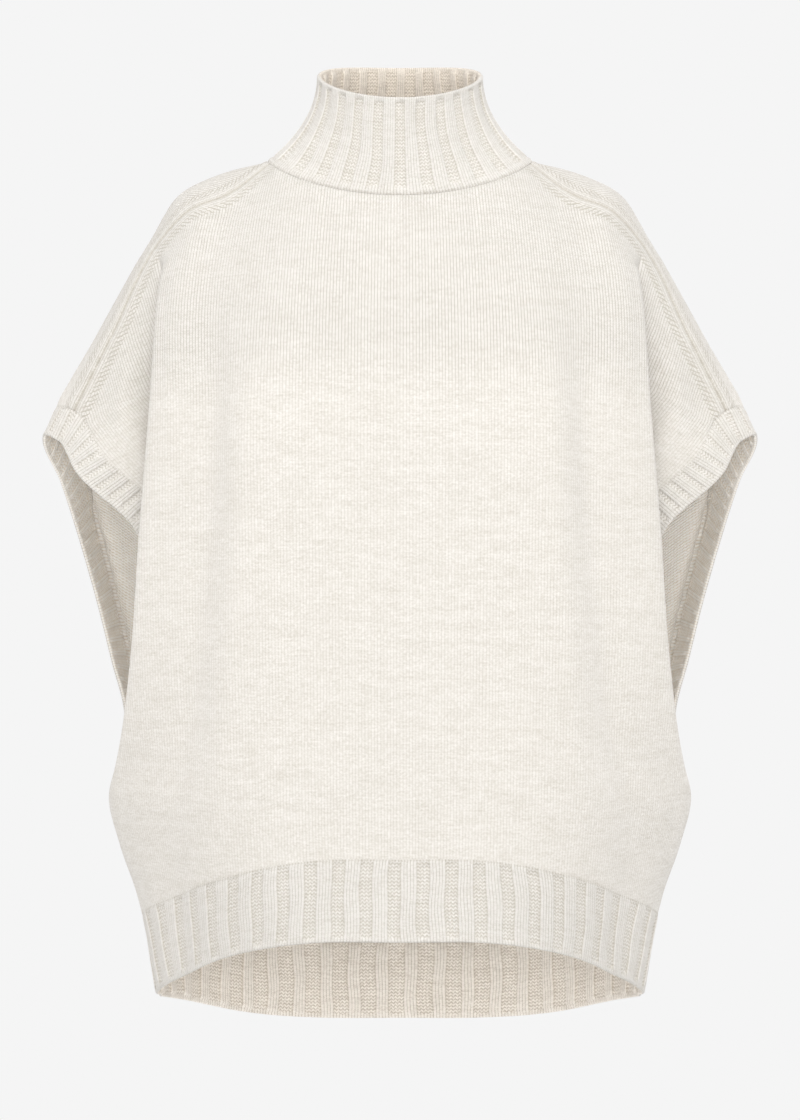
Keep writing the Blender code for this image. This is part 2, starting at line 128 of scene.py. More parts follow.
# Sections of the front half: at each height, x and y of its centre, middle, ridge, turn, roll, fold,
# behind, tuck, under and sleeve. The cloth hangs over the arm's place from the fold, and turns back
# behind it to the sleeve. A line that starts below a height has no place in that section.
FRONT_SECTIONS = {
    -110: ((0, -123), (64, -119), (125, -103), (163, -84), (200, -66), (209, -52), (208, -48), (202, -45.8),
           None, None),
    -226: ((0, -139), (64, -138), (134, -128), (167, -102), (201, -84), (217, -69), (209.5, -56),
           (189, -46.5), (211, -38), (238, -40)),
    -330: ((0, -141), (66, -140), (139, -131), (173, -106), (208.5, -86), (225, -72), (217, -60),
           (173, -52), (174, -44), (186, -42.5)),
    -430: ((0, -142), (68, -141), (147, -130), (183, -104), (218, -82), (232, -68), (224.5, -56),
           (177.5, -49.5), (174, -40), (186, -35)),
    -500: ((0, -143), (70, -142), (153, -126), (191, -96), (227, -68), (241.5, -51), (237.5, -40),
           (205.5, -38.5), (194, -33), (202, -28)),
    -530: ((0, -143), (71, -143), (157, -124), (198, -89), (234.5, -55), (248, -37), (248, -28), (228, -27),
           (217, -25), (221, -21)),
    -556: ((0, -143), (72, -143), (161, -121), (202, -84), (240.5, -45), (254, -22.5), (254.5, -16),
           (250.5, -14), (243.5, -13), (241.5, -9)),
    -598: ((0, -143), (74, -143), (165, -113), (197, -78), (230.5, -42), (244.3, -20), (245.8, -13),
           (245.5, -7), (243.5, -1), (242, 5)),
    -640: ((0, -144), (76, -143), (166, -103), (190.5, -73), (217, -42), (229.5, -17), (231.5, -10),
           (231.5, -4), (230.5, 1), (229, 7)),
    "hem": ((0, -145), (78, -142), (161, -93), (184, -66), (202.5, -41), (211.5, -19), (213, -12),
            (214, -6), (214.5, 0), (214, 7)),
}
# The same for the back: its centre, middle, neck, corner, blade, arm, upper and sleeve.
BACK_SECTIONS = {
    -60: ((0, 86), (62, 84), (104, 74), (140, 56), (172, 40), (208, 24), None, None),
    -140: ((0, 104), (64, 103), (108, 97), (144, 87), (177, 74), (210, 60), (245, 47), None),
    -226: ((0, 113), (66, 113), (110, 110), (148, 104), (182, 95), (217, 84), (248, 74), (278, 56)),
    -330: ((0, 118), (66, 119), (110, 117), (148, 111), (182, 108), (215, 110), (240, 109), (260, 105)),
    -430: ((0, 123), (67, 125), (111, 122), (149, 115), (181, 113), (206, 116), (222, 116), (235, 112)),
    -500: ((0, 127), (69, 129), (113, 125), (149, 117), (180, 110), (203, 106), (217, 100), (228, 90)),
    -556: ((0, 131), (72, 132), (115, 126), (149, 115), (179, 102), (204, 86), (225, 66), (241, 42)),
    -640: ((0, 138), (76, 137), (118, 129), (149, 114), (176, 94), (198, 72), (214, 50), (223, 31)),
    "hem": ((0, 148), (80, 146), (118, 136), (149, 118), (174, 94), (193, 69), (205, 47), (211, 29)),
}
# Where the fold lines leave each half's top edge: angles round the neck, with the cells between them and
# the way that the panel leaves the neckline at each, and distances along the shoulder seam. Those are for
# the front's ridge, turn, roll, fold, behind, tuck, under and sleeve, and for the back's corner, blade, arm,
# upper and sleeve.
FRONT_SHAPE = {
    "neck_angles": (0, 33, NECK_CORNER),
    "neck_cells": (24, 24),
    "neck_ways": ((0, -0.5, -0.87), (0.05, -0.55, -0.83)),
    "seam_starts": (0, 48, 90, 112, 120, 132, 165, 215),
    "sections": FRONT_SECTIONS,
    "armhole": FRONT_ARMHOLE,
}
BACK_SHAPE = {
    "neck_angles": (180, 148, 112, NECK_CORNER),
    "neck_cells": (22, 18, 16),
    "neck_ways": ((0, 0.85, -0.5), (0.05, 0.9, -0.4), (0.2, 1, -0.05)),
    "seam_starts": (0, 48, 90, 135, 205),
    "sections": BACK_SECTIONS,
    "armhole": BACK_ARMHOLE,
}

# The side seam below the underarm; its last station is on the hem.
SIDE_SEAM = ((227.5, 14, -640), (212.5, 15, None))

# Cells between the front's neighbouring fold lines along the shoulder seam, which both panels share.
SHOULDER_CELLS = (17, 15, 9, 6, 12, 10, 16, 20)
PANEL_ROWS = 142
HEM_RIB_ROWS = 12
# How far below the top edge, and in from the side, the extra rows and columns of a seam lie.
BESIDE_TOP = (0.0, 0.9, 1.9)
BESIDE_SEAM = 4.0
BESIDE_SIDE = (2.6, 1.3, 0.0)
# How much the panels lean along the shoulder seam where they leave it at the neck, and how far that goes.
NECK_LEAN = 0.4
LEAN_REACH = 60.0
# How far above the underarm the cloth starts to turn from the armhole rib's way to the side seam's.
UNDERARM_BLEND = 60.0
# Steps in which a curve's length is measured and a height is found on it.
STEPS_PER_SPAN = 12
HALVINGS = 30

# The knit: wales run down the cloth and courses across it.
WALE = 2.7
COURSE = 2.05
RIB_COURSE = 1.9
BODY_WALL = 2.8
RIB_WALL = 3.6
COLLAR_WALL = 4.2

# The coarser grid on which a half panel is laid flat, and in how many rounds.
FLATTENING_ROWS = 30
FLATTENING_COLUMNS = 38
FLATTENING_ROUNDS = 80
# Rounds of smoothing, and how far towards its neighbours' middle each one moves a point.
SMOOTHING_ROUNDS = 60
SMOOTHING_PULL = 0.8
# Columns on each side of the neck's corner, and rows below it, that its bend is rounded off over.
BEND_COLUMNS = 9
BEND_ROWS = (3, 18)
# How many columns from a half panel's side its cells start to be evened out, and are so in full.
EVENED_COLUMNS = (34.0, 22.0)
# How far the sleeve's wales lean, at distances down the knit, and the fold lines between which it sets in.
GRAIN = ((150, 320, 640), (0, 54, 0))
GRAIN_LINES = (5.2, 8.0)

# How far the ribs stand out and in from the middle of the cloth, and the armholes' share of that.
RIB_RELIEF = 1.1
ARMHOLE_RELIEF = 0.65
# Half the width of a rib's flank and of its crest, and how far the crest lies from the flank's middle, as
# shares of half a rib; then how high the crest is.
RIB_FLANK = 0.09
CREST_OFFSET = 0.16
CREST_HEIGHT = 0.12
# How far from the free edge a purl column closes in its middle, how much further at its sides, and
# between which distances its stitches give way to plain ones.
CLOSING = 3.5
CLOSING_ROUND = 3.0
CLOSED_STITCHES = (4.2, 3.2)
# Two waves that ribs sway in: how far, in ribs, and the length of a radian up a rib and across the ribs.
SWAYS = ((0.035, 19, 37), (0.02, 8, -15))
# How far a seam rolls in, and over what width.
NECK_ROLL = 0.4
SHOULDER_ROLL = 0.9
SIDE_ROLL = 0.6
ROLL_REACH = 4.0
# How high the puckers beside the armhole rib are and how far in from it they lie. Then the length of a
# radian of their waves, and of those that make them uneven in width and in height.
PUCKER_HEIGHT = 0.8
PUCKER_PLACE = 9.0
PUCKER_RUNS = (4.1, 17.0, 23.0)
# How far from its seam a rib's relief sets in, and how far off it is whole; the hem's sets in at once.
HEM_START = 6
COLLAR_START = (5.0, 9.0)
ARMHOLE_START = (0.5, 3.5)
# How far the row that links the collar on stands out, how wide it is and how much of it is lumps.
LINK_BEAD = 0.8
LINK_WIDTH = 6.0
LINK_LUMPS = 0.2
# Columns of a half panel whose distance from its side is measured, and the distance given to the rest.
SIDE_COLUMNS = 48
FAR = 1000.0
# Points at which the shoulder seam, the collar's rings and half an armhole are measured, and how far below
# the end of the seam its map goes.
SEAM_STATIONS = 160
COLLAR_STATIONS = 361
ARMHOLE_STATIONS = 200
SEAM_REACH = 80

# Ribs: how wide one is, how many wales it has, how many of them are purled, and where a purl column's
# middle lies.
HEM_RIB = {"pitch": 24.0, "wales": 9, "purls": 4, "middle": -4.4}
BACK_HEM_RIB = {"pitch": 26.0, "wales": 9, "purls": 4, "middle": 10.3}
COLLAR_RIBS = 24
COLLAR_RIB = {"wales": 9, "purls": 4}
# How far apart the collar's ribs are on average, and its cut's width as a share of its rim's length.
COLLAR_PITCH = 22.0
COLLAR_CUT = 1.2
ARMHOLE_RIBS = 58
ARMHOLE_RIB = {"wales": 5, "purls": 2}
# How many courses from its seam a rib's purl columns start, and those of the collar's face.
PURL_START = 0.5
COLLAR_PURL_START = 3.5

# Points across half a hem rib or round each ring, down each ribbed piece and round half its free edge.
HEM_COLUMNS = 320
HEM_ROWS = 40
COLLAR_COLUMNS = COLLAR_RIBS * 20
COLLAR_ROWS = 42
ARMHOLE_COLUMNS = ARMHOLE_RIBS * 12
ARMHOLE_ROWS = 20
EDGE_STEPS = 5
# Points closer than this, in metres, are merged where a ring closes.
MERGE_DISTANCE = 0.00001
# A wall's own edge stays crisp where it turns by more than this, in degrees.
CRISP_TURN = 60

# Creases of each half: the fold line that it starts on and ends on, its start and end as shares of the
# way down, its width and its height, which is negative for a trough. 1 is the half on the wearer's left.
# A crease fades at both ends over the same share of its length.
CREASE_FADE = 0.3
FRONT_CREASES = {
    1: (
        (2.7, 2.8, 0.12, 1.0, 20, -4.0),
        (4.2, 4.3, 0.15, 0.85, 16, 1.8),
        (2.0, 2.0, 0.2, 1.0, 14, 1.8),
        (8.4, 8.4, 0.15, 0.7, 8, -1.5),
    ),
    -1: (
        (2.8, 2.7, 0.14, 1.0, 20, -3.8),
        (4.2, 4.3, 0.12, 0.88, 16, 2.0),
        (2.0, 2.0, 0.24, 1.0, 14, 2.0),
        (8.4, 8.4, 0.18, 0.66, 8, -1.6),
    ),
}
BACK_CREASES = {
    1: (
        (3.2, 2.6, 0.15, 0.9, 22, -3.0),
        (4.4, 3.6, 0.2, 1.0, 18, 3.0),
        (1.6, 1.9, 0.35, 1.0, 26, -2.5),
    ),
    -1: (
        (3.0, 2.7, 0.18, 0.95, 22, -3.2),
        (4.5, 3.8, 0.24, 1.0, 18, 2.6),
        (1.7, 1.8, 0.3, 0.95, 26, -2.2),
    ),
}

# The wool's darkest and lightest colours, which the painted shade of its grooves and its heather mix
# between:
# outside, inside the hem, inside the collar, and inside the rest. The inside ones are lighter and warmer
# than the outside, as painted light that stands in for the light that bounces about inside.
OUTSIDE_WOOL = ((0.49, 0.454, 0.393, 1.0), (0.735, 0.708, 0.67, 1.0))
HEM_INSIDE_WOOL_AND_PAINTED_LIGHT = ((0.56, 0.485, 0.40, 1.0), (1.0, 0.94, 0.86, 1.0))
COLLAR_INSIDE_WOOL_AND_PAINTED_LIGHT = ((0.48, 0.41, 0.33, 1.0), (0.86, 0.79, 0.70, 1.0))
INSIDE_WOOL_AND_PAINTED_LIGHT = ((0.80, 0.70, 0.57, 1.0), (1.0, 0.97, 0.92, 1.0))
# The middle of a stitch's height, and the tint there.
MEAN_HEIGHT = 0.64
MEAN_LIGHT = 0.6
# How strongly a stitch's height paints shade into its grooves and light onto its yarn, and, in millimetres,
# how
# deep its bump is: on plain knit, on ribs and inside the panels.
PLAIN_CONTRAST = 1.3
RIB_CONTRAST = 1.1
INSIDE_CONTRAST = 1.35
PLAIN_DEPTH = 0.5
RIB_DEPTH = 0.5
INSIDE_DEPTH = 0.65
# Rows of purl arcs to a course: they look taller in a rib, which pulls them apart, than on the inside.
PURL_STRETCH = 0.62
INSIDE_STRETCH = PURL_STRETCH * 1.25
# The heather's streaks, clouds and fibres: how fine they are across and down, in wales and courses, their
# detail and how much they show; then how much the fibres add to the bump.
HEATHER = ((0.22, 0.85, 3.0, 0.5), (0.07, 0.28, 2.0, 0.35), (1.0, 1.3, 4.0, 1.0))
FIBRE_BUMP = 0.35
# A plain stitch: how much of its height its legs are, and how wide and deep the dip between them is. Then
# how much of a purl stitch's height its arc is.
LEG_HEIGHT = 0.45
DIP_WIDTH = 0.25
DIP_DEPTH = 0.15
PURL_ARC = 0.75
# How far purl rows wave on the inside; then how many zigzags they make to a wale in a rib, and how high.
PURL_WAVE = 0.08
ZIGZAG = (0.75, 1.2)
# Courses from the top over which the plain stitches turn fuzzy, and how fuzzy.
FUZZY_FROM = (60.0, 95.0)
FUZZINESS = 0.55
# The band beside the shoulder seam, in wales, and the marks along it: their slant, how many there are to a
# course, how far off their middle they end and are whole across and along the seam, how deep they are and
# how much painted shade darkens them. Then the wales that the seam's painted shade fades over, and that
# painted shade.
SEAM_BAND = 4.0
MARK_SLANT = 1.3
MARK_RATE = 0.42
MARK_WIDTH = (1.9, 1.0)
MARK_LENGTH = (0.2, 0.05)
MARK_DEPTH = 0.8
MARK_SHADE = 0.45
SEAM_LINE = (0.9, 0.3)
SEAM_SHADE = -0.7
# Painted light: how much lighter the inside of the panels is painted, to stand in for the light that reaches
# little in there.
INSIDE_PAINTED_LIGHT = 0.2
# Where the rows inside the panels start to rise towards the armholes and how far off that they rise in
# full, in wales, and how steeply.
ROW_TURN = 55.0
ROW_BEND = 10.0
ROW_RISE = 0.8
# Painted light and shade on a rib: how much a painted highlight lightens its crest, how much painted shade
# darkens its purl stitches, its valley and its linking row, and how much painted light lifts all of a rib.
RIB_PAINTED_SHADING = (0.05, 0.18, 0.12, 0.4)
ARMHOLE_RIB_PAINTED_SHADING = (0.0, 0.08, 0.05, 0.3)
INSIDE_RIB_PAINTED_SHADING = (0.05, 0.14, 0.12, 0.3)
RIB_PAINTED_LIGHT = 0.1
# Where a rib's crest and valley lie from its flank, how far off each fades out and how far off it is whole,
# as shares of half a rib; then the same in courses from the seam for the linking row.
RIB_BANDS = ((0.15, 0.14, 0.05), (-0.06, 0.12, 0.02))
LINK_ROW = (1.3, 0.5)

# The studio in metres: the camera, the light around, and the lamps as place, size and power.
CAMERA_DISTANCE = 3.5
CAMERA_HEIGHT = -0.349
FRAME_HEIGHT = 0.9856
SENSOR = 24.0
BACKGROUND = (0.913, 0.913, 0.913, 1.0)
LIGHTS = (
    ("key", (0.0, -1.8, 1.8), (2.4, 1.4), 34.0),
    ("fill", (0.0, -4.2, -0.5), (1.8, 1.6), 47.0),
    ("left", (2.8, -1.4, -0.6), (1.2, 1.4), 10.0),
    ("right", (-2.8, -1.4, -0.6), (1.2, 1.4), 10.0),
    ("back", (1.4, 3.2, 0.6), (1.6, 1.6), 30.0),
)
LIGHT_TARGET = (0.0, 0.0, -0.35)
# The floor, and the distances from its middle over which it fades into the light around it.
FLOOR_RADIUS = 6.0
FLOOR_DROP = 0.25
FLOOR_PAINT = (0.76, 0.76, 0.76, 1.0)
FLOOR_FADE = (0.35, 1.05)


class Curve:
    """A smooth curve through a few stations, which can be read by span or by distance along it.

    held gives the way that the curve runs at some of its stations, by their index.
    """

    def __init__(self, stations, held=None):
        self.points = [Vector(station) for station in stations]
        self.runs = [(far - near).length for near, far in zip(self.points, self.points[1:])]
        self.ways = self.find_ways(held or {})
        self.distances = [0.0]
        last = self.points[0]
        for span in range(len(self.runs)):
            for step in range(1, STEPS_PER_SPAN + 1):
                point = self.at(span, step / STEPS_PER_SPAN)
                self.distances.append(self.distances[-1] + (point - last).length)
                last = point
        self.length = self.distances[-1]

    def find_ways(self, held):
        slopes = []
        for index, run in enumerate(self.runs):
            slopes.append((self.points[index + 1] - self.points[index]) / run)
        ways = [slopes[0]]
        for index in range(1, len(slopes)):
            before, after = self.runs[index - 1], self.runs[index]
            ways.append((slopes[index - 1] * after + slopes[index] * before) / (before + after))
        ways.append(slopes[-1])
        for index, way in held.items():
            ways[index] = Vector(way).normalized()
        return ways

    def at(self, span, share):
        run = self.runs[span]
        square = share * share
        cube = square * share
        return (
            self.points[span] * (2 * cube - 3 * square + 1)
            + self.ways[span] * ((cube - 2 * square + share) * run)
            + self.points[span + 1] * (3 * square - 2 * cube)
            + self.ways[span + 1] * ((cube - square) * run)
        )

    def locate(self, distance):
        """The span and the share of it at a distance along the curve."""
        distance = min(max(distance, 0.0), self.length)
        step = 1
        while step < len(self.distances) - 1 and self.distances[step] < distance:
            step += 1
        run = self.distances[step] - self.distances[step - 1]
        place = (step - 1 + (distance - self.distances[step - 1]) / run) / STEPS_PER_SPAN
        span = min(int(place), len(self.runs) - 1)
        return span, place - span

    def along(self, distance):
        return self.at(*self.locate(distance))


class SideLine:
    """The line a panel ends on: down its armhole rib's seam to the underarm, then down the side seam."""

    def __init__(self, rib_seam, side_seam):
        self.rib_seam = rib_seam
        self.side_seam = side_seam
        self.underarm = rib_seam.length
        self.length = rib_seam.length + side_seam.length

    def along(self, distance):
        if distance <= self.underarm:
            return self.rib_seam.along(distance)
        return self.side_seam.along(distance - self.underarm)

    def way(self, distance):
        return (self.along(distance + 1.0) - self.along(max(distance - 1.0, 0.0))).normalized()

    def distance_down_to(self, height):
        high, low = 0.0, self.length
        for _ in range(HALVINGS):
            middle = (high + low) / 2
            if self.along(middle).z > height:
                high = middle
            else:
                low = middle
        return low


def hem_height(y):
    back = y - FRONT_HEM_Y
    sag = math.sin(math.pi * min(max(back / HEM_SAG_REACH, 0.0), 1.0)) ** 2
    return FRONT_HEM_Z - HEM_SLOPE * back - HEM_SAG * sag


def neckline(angle):
    """The seam between the collar and the panels; the angle is 0 at the front and pi at the back."""
    ahead = math.cos(angle)
    if ahead > 0:
        z = -NECK_FRONT_DIP * ahead**1.5
    else:
        z = NECK_BACK_RISE * ahead**2
    return Vector((NECK_HALF_WIDTH * math.sin(angle), NECK_CENTRE_Y - NECK_HALF_DEPTH * ahead, z))


def collar_point(angle, rise):
    """A point of the collar; the rise is 0 at the neckline and 1 at the rim."""
    flare = (1 - rise) ** COLLAR_FLARE
    half_width = RIM_HALF_WIDTH + (NECK_HALF_WIDTH - RIM_HALF_WIDTH) * flare
    half_depth = RIM_HALF_DEPTH + (NECK_HALF_DEPTH - RIM_HALF_DEPTH) * flare
    centre_y = RIM_CENTRE_Y + (NECK_CENTRE_Y - RIM_CENTRE_Y) * flare
    front_share = (1 + math.cos(angle)) / 2
    rim_z = RIM_BACK_Z - (RIM_BACK_Z - RIM_FRONT_Z) * front_share**RIM_TILT_POWER
    base_z = neckline(angle).z
    x = half_width * math.sin(angle)
    y = centre_y - half_depth * math.cos(angle)
    return Vector((x, y, base_z + (rim_z - base_z) * rise))


class Shoulder:
    """The shoulder seam with the crest behind it."""

    def __init__(self):
        self.seam = Curve([row[:3] for row in SHOULDER])
        self.crest = Curve([row[3:] for row in SHOULDER])
        self.rib_start = self.seam.length - ARMHOLE_RIB_WIDTH
        corner = math.radians(NECK_CORNER)
        self.neck_way = (neckline(corner - 0.01) - neckline(corner)).normalized()

    def crest_by(self, distance):
        return self.crest.along(distance / self.seam.length * self.crest.length)

    def way_down(self, distance, over_crest):
        """The way a panel leaves the seam: square to it, but between it and the neckline at the neck."""
        nudge = min(distance, self.seam.length - 1.0)
        along = (self.seam.along(nudge + 1.0) - self.seam.along(nudge)).normalized()
        forward = Vector((0, -1, 0))
        forward = (forward - along * forward.dot(along)).normalized()
        chord = self.seam.along(distance) - self.crest_by(distance)
        chord = (chord - along * chord.dot(along)).normalized()
        crossing = chord * 2 * forward.dot(chord) - forward
        lean = NECK_LEAN * max(0.0, 1 - distance / LEAN_REACH)
        crossing = crossing.lerp(self.neck_way, lean / NECK_LEAN).normalized()
        if over_crest:
            crossing = -crossing
        return (crossing + along * lean).normalized()

    def columns(self):
        """How far along the seam each column of both panels starts."""
        stops = [*FRONT_SHAPE["seam_starts"], self.rib_start - BESIDE_SEAM]
        columns = []
        for span, count in enumerate(SHOULDER_CELLS):
            for cell in range(count):
                columns.append(stops[span] + (stops[span + 1] - stops[span]) * cell / count)
        return [*columns, stops[-1]]


class Panel:
    """One half of the front or the back: columns that run down from its top edge to the hem.

    A column is placed by its span between two fold lines and by its share of that span, and passes
    through every section at that place.
    """

    def __init__(self, shape, over_crest):
        self.shape = shape
        self.over_crest = over_crest
        self.shoulder = Shoulder()
        self.side_way = Vector((0.0, 1.0, -HEM_SLOPE)).normalized() * (-1 if over_crest else 1)
        self.add_outer_lines()
        self.sections = [self.section(height) for height in shape["sections"]]
        self.columns = self.neck_columns() + self.shoulder_columns()

    def add_outer_lines(self):
        """The rib seam beside the armhole, which the side seam goes on from, and the free edge."""
        shoulder = self.shoulder
        ends = []
        for distance in (shoulder.rib_start, shoulder.seam.length):
            start = [shoulder.seam.along(distance)]
            if self.over_crest:
                start.append(shoulder.crest_by(distance))
            ends.append((start, shoulder.way_down(distance, self.over_crest)))
        (seam_start, seam_way), (edge_start, edge_way) = ends
        rows = (*self.shape["armhole"], UNDERARM)
        down = (Vector(rows[0][:3]) - edge_start[-1]).normalized()
        edge_ways = {0: edge_way}
        edge_ways[len(edge_start) - 1] = edge_way.lerp(down, EDGE_TUCK).normalized()
        rib_seam = Curve([*seam_start, *[row[3:] for row in rows]], {0: seam_way})
        below = [(x, y, hem_height(y) if z is None else z) for x, y, z in SIDE_SEAM]
        self.outer = SideLine(rib_seam, Curve([rib_seam.points[-1], *below]))
        self.edge = Curve([*edge_start, *[row[:3] for row in rows]], edge_ways)

    def section(self, height):
        """The curve across the half at one height, out to the side where the shoulder is above it."""
        stations = []
        for point in self.shape["sections"][height]:
            if point is not None:
                stations.append((*point, hem_height(point[1]) if height == "hem" else height))
        held = {0: (1, 0, 0)}
        if height == "hem":
            stations.append(self.outer.along(self.outer.length))
            held[len(stations) - 1] = self.side_way
        elif height < self.outer.along(0.0).z:
            distance = self.outer.distance_down_to(height)
            stations.append(self.outer.along(distance))
            held[len(stations) - 1] = self.outward_way(distance)
        return Curve(stations, held)

    def column(self, start, way, span, share):
        """The curve of one column, from its first stations through every section that it meets."""
        stations = list(start)
        for section in self.sections:
            if span + (share > 0) < len(section.points):
                inside = span < len(section.runs)
                point = section.at(span, share) if inside else section.points[-1]
                if point.z < stations[-1].z:
                    stations.append(point)
        return Curve(stations, {0: way})

    def neck_columns(self):
        columns = []
        angles = [math.radians(angle) for angle in self.shape["neck_angles"]]
        corner_way = self.shoulder.way_down(0.0, self.over_crest)
        ways = [*[Vector(way).normalized() for way in self.shape["neck_ways"]], corner_way]
        for span, count in enumerate(self.shape["neck_cells"]):
            for cell in range(count):
                share = cell / count
                top = neckline(angles[span] + (angles[span + 1] - angles[span]) * share)
                way = ways[span].lerp(ways[span + 1], share)
                columns.append(self.column([top], way, span, share))
        return columns

    def shoulder_columns(self):
        columns = []
        neck_spans = len(self.shape["neck_cells"])
        stops = [*self.shape["seam_starts"], self.shoulder.rib_start]
        for distance in self.shoulder.columns():
            span = 0
            while distance >= stops[span + 1]:
                span += 1
            share = (distance - stops[span]) / (stops[span + 1] - stops[span])
            start = [self.shoulder.seam.along(distance)]
            if self.over_crest:
                start.append(self.shoulder.crest_by(distance))
            way = self.shoulder.way_down(distance, self.over_crest)
            columns.append(self.column(start, way, neck_spans + span, share))
        return columns

    def across_rib(self, distance):
        """The armhole rib's seam at a distance down the outer line, and its free edge beside that."""
        place = self.outer.rib_seam.locate(distance)
        return self.outer.rib_seam.at(*place), self.edge.at(*place)

    def outward_way(self, distance):
        """The way the cloth runs where it meets the armhole rib or the side seam."""
        left = self.outer.underarm - distance
        if left <= 0:
            return self.side_way
        seam, edge = self.across_rib(distance)
        along = self.outer.way(distance)
        across = edge - seam
        across = (across - along * across.dot(along)).normalized()
        return across.lerp(self.side_way, max(0.0, 1 - left / UNDERARM_BLEND)).normalized()

    def row(self, distance, find):
        """A row that ends at a distance down the outer line; find gives each column's own distance."""
        filled = SHOULDER_CELLS[-1]
        points = [column.along(find(column)) for column in self.columns[:-filled]]
        points[0].x = 0.0
        end = self.outer.along(distance)
        way = self.outward_way(distance)
        last_span = Curve([*points[-2:], end - way * BESIDE_SEAM], {2: way})
        for cell in range(1, filled + 1):
            points.append(last_span.at(1, cell / filled))
        return points + [end - way * left for left in BESIDE_SIDE]

    def edge_row(self, below):
        """A row just below the top edge, straight down each column's first way."""
        points = [column.points[0] + column.ways[0] * below for column in self.columns]
        points[0].x = 0.0
        end, way = self.outer.along(below), self.outward_way(below)
        return points + [end - way * left for left in BESIDE_SIDE]

    def panel_rows(self):
        rows = [self.edge_row(below) for below in BESIDE_TOP]
        whole = self.outer.length - HEM_RIB_HEIGHT
        for row in range(1, PANEL_ROWS + 1):
            share = row / PANEL_ROWS
            rows.append(self.row(whole * share,
                                 lambda column: (column.length - HEM_RIB_HEIGHT) * share))
        return rows

    def hem_rib_rows(self):
        rows = []
        for row in range(HEM_RIB_ROWS + 1):
            left = HEM_RIB_HEIGHT * (1 - row / HEM_RIB_ROWS)
            rows.append(self.row(self.outer.length - left, lambda column: column.length - left))
        return rows


def between(values, low, high):
    """0 below low, 1 above high and a smooth step between them."""
    share = np.clip((values - low) / (high - low), 0.0, 1.0)
    return share * share * (3 - 2 * share)


def lengths_along(points, axis):
    """How far each point lies along its row (axis 1) or its column (axis 0)."""
    steps = np.linalg.norm(np.diff(points, axis=axis), axis=2)
    start = np.zeros_like(np.take(steps, [0], axis=axis))
    return np.concatenate([start, np.cumsum(steps, axis=axis)], axis=axis)


def spread(values, places, targets):
    """Values known at some places along the first axis, read smoothly at the targets."""
    runs = np.diff(places)
    slopes = np.diff(values, axis=0) / runs.reshape(-1, *[1] * (values.ndim - 1))
    weights = runs.reshape(-1, *[1] * (values.ndim - 1))
    inner = (slopes[:-1] * weights[1:] + slopes[1:] * weights[:-1]) / (weights[1:] + weights[:-1])
    ways = np.concatenate([slopes[:1], inner, slopes[-1:]])
    span = np.clip(np.searchsorted(places, targets, side="right") - 1, 0, len(runs) - 1)
    share = ((targets - places[span]) / runs[span]).reshape(-1, *[1] * (values.ndim - 1))
    run = weights[span]
    square, cube = share**2, share**3
    return (
        values[span] * (2 * cube - 3 * square + 1)
        + ways[span] * run * (cube - 2 * square + share)
        + values[span + 1] * (3 * square - 2 * cube)
        + ways[span + 1] * run * (cube - square)
    )


def outward(points, closed):
    """The outward way at each point of a grid, square to the cloth."""
    if closed:
        across = np.roll(points, -1, axis=1) - np.roll(points, 1, axis=1)
        across[:, 0] = points[:, 1] - points[:, -2]
        across[:, -1] = across[:, 0]
    else:
        across = np.gradient(points, axis=1)
    normals = np.cross(across, np.gradient(points, axis=0))
    return normals / np.maximum(np.linalg.norm(normals, axis=2, keepdims=True), 1e-9)


def flat_corners(points, across, down):
    """For each cell of a grid two flat triangles with its real lengths, as corner indices and places."""
    rows, columns = points.shape[:2]
    index = np.arange(rows * columns).reshape(rows, columns)
    corners, places = [], []
    for turn in (0, 1):
        near = (slice(0, rows - 1), slice(0, columns - 1))
        far = (slice(1, rows), slice(1, columns))
        here, beside = (near, (near[0], far[1])) if turn == 0 else (far, (far[0], near[1]))
        below = (far[0], near[1]) if turn == 0 else (near[0], far[1])
        first, second = points[beside] - points[here], points[below] - points[here]
        cosine = (first * second).sum(2) / (np.linalg.norm(first, axis=2) * np.linalg.norm(second, axis=2))
        angle = np.arccos(np.clip(cosine, -1, 1)) + turn * math.pi
        wide = np.abs(across[beside] - across[here]) * (1 - 2 * turn)
        high = np.abs(down[below] - down[here])
        flat = np.stack([wide * 0, wide * 0, wide, wide * 0, high * np.cos(angle), high * np.sin(angle)], 2)
        corners.append(np.stack([index[here], index[beside], index[below]], 2).reshape(-1, 3))
        places.append(flat.reshape(-1, 3, 2))
    return np.concatenate(corners), np.concatenate(places)


def lay_flat(points, across, down):
    """The half panel laid flat, as the place of each grid point from the centre line and the top.

    Each small triangle is turned to fit its neighbours and then all are joined up again, in turns. The
    centre line stays straight.
    """
    rows, columns = points.shape[:2]
    corners, places = flat_corners(points, across, down)
    start = corners[:, [0, 1, 2]].ravel()
    end = corners[:, [1, 2, 0]].ravel()
    edges = (places - places[:, [1, 2, 0]]).reshape(-1, 2)
    count = rows * columns
    links = np.zeros((count, count))
    np.add.at(links, (start, start), 1.0)
    np.add.at(links, (end, end), 1.0)
    np.add.at(links, (start, end), -1.0)
    np.add.at(links, (end, start), -1.0)
    centre = np.arange(count) % columns == 0
    free = [np.flatnonzero(~centre), np.arange(1, count)]
    solvers = [np.linalg.inv(links[np.ix_(keep, keep)]) for keep in free]
    flat = np.stack([across.ravel(), down.ravel()], 1)
    for _ in range(FLATTENING_ROUNDS):
        sides = flat[start] - flat[end]
        turn = np.arctan2(
            (edges[:, 0] * sides[:, 1] - edges[:, 1] * sides[:, 0]).reshape(-1, 3).sum(1),
            (edges * sides).sum(1).reshape(-1, 3).sum(1),
        ).repeat(3)
        cosine, sine = np.cos(turn), np.sin(turn)
        wanted = np.stack([edges[:, 0] * cosine - edges[:, 1] * sine,
                           edges[:, 0] * sine + edges[:, 1] * cosine], 1)
        pull = np.zeros((count, 2))
        np.add.at(pull, start, wanted)
        np.add.at(pull, end, -wanted)
        for axis in (0, 1):
            flat[free[axis], axis] = solvers[axis] @ pull[free[axis], axis]
    return flat.reshape(rows, columns, 2)


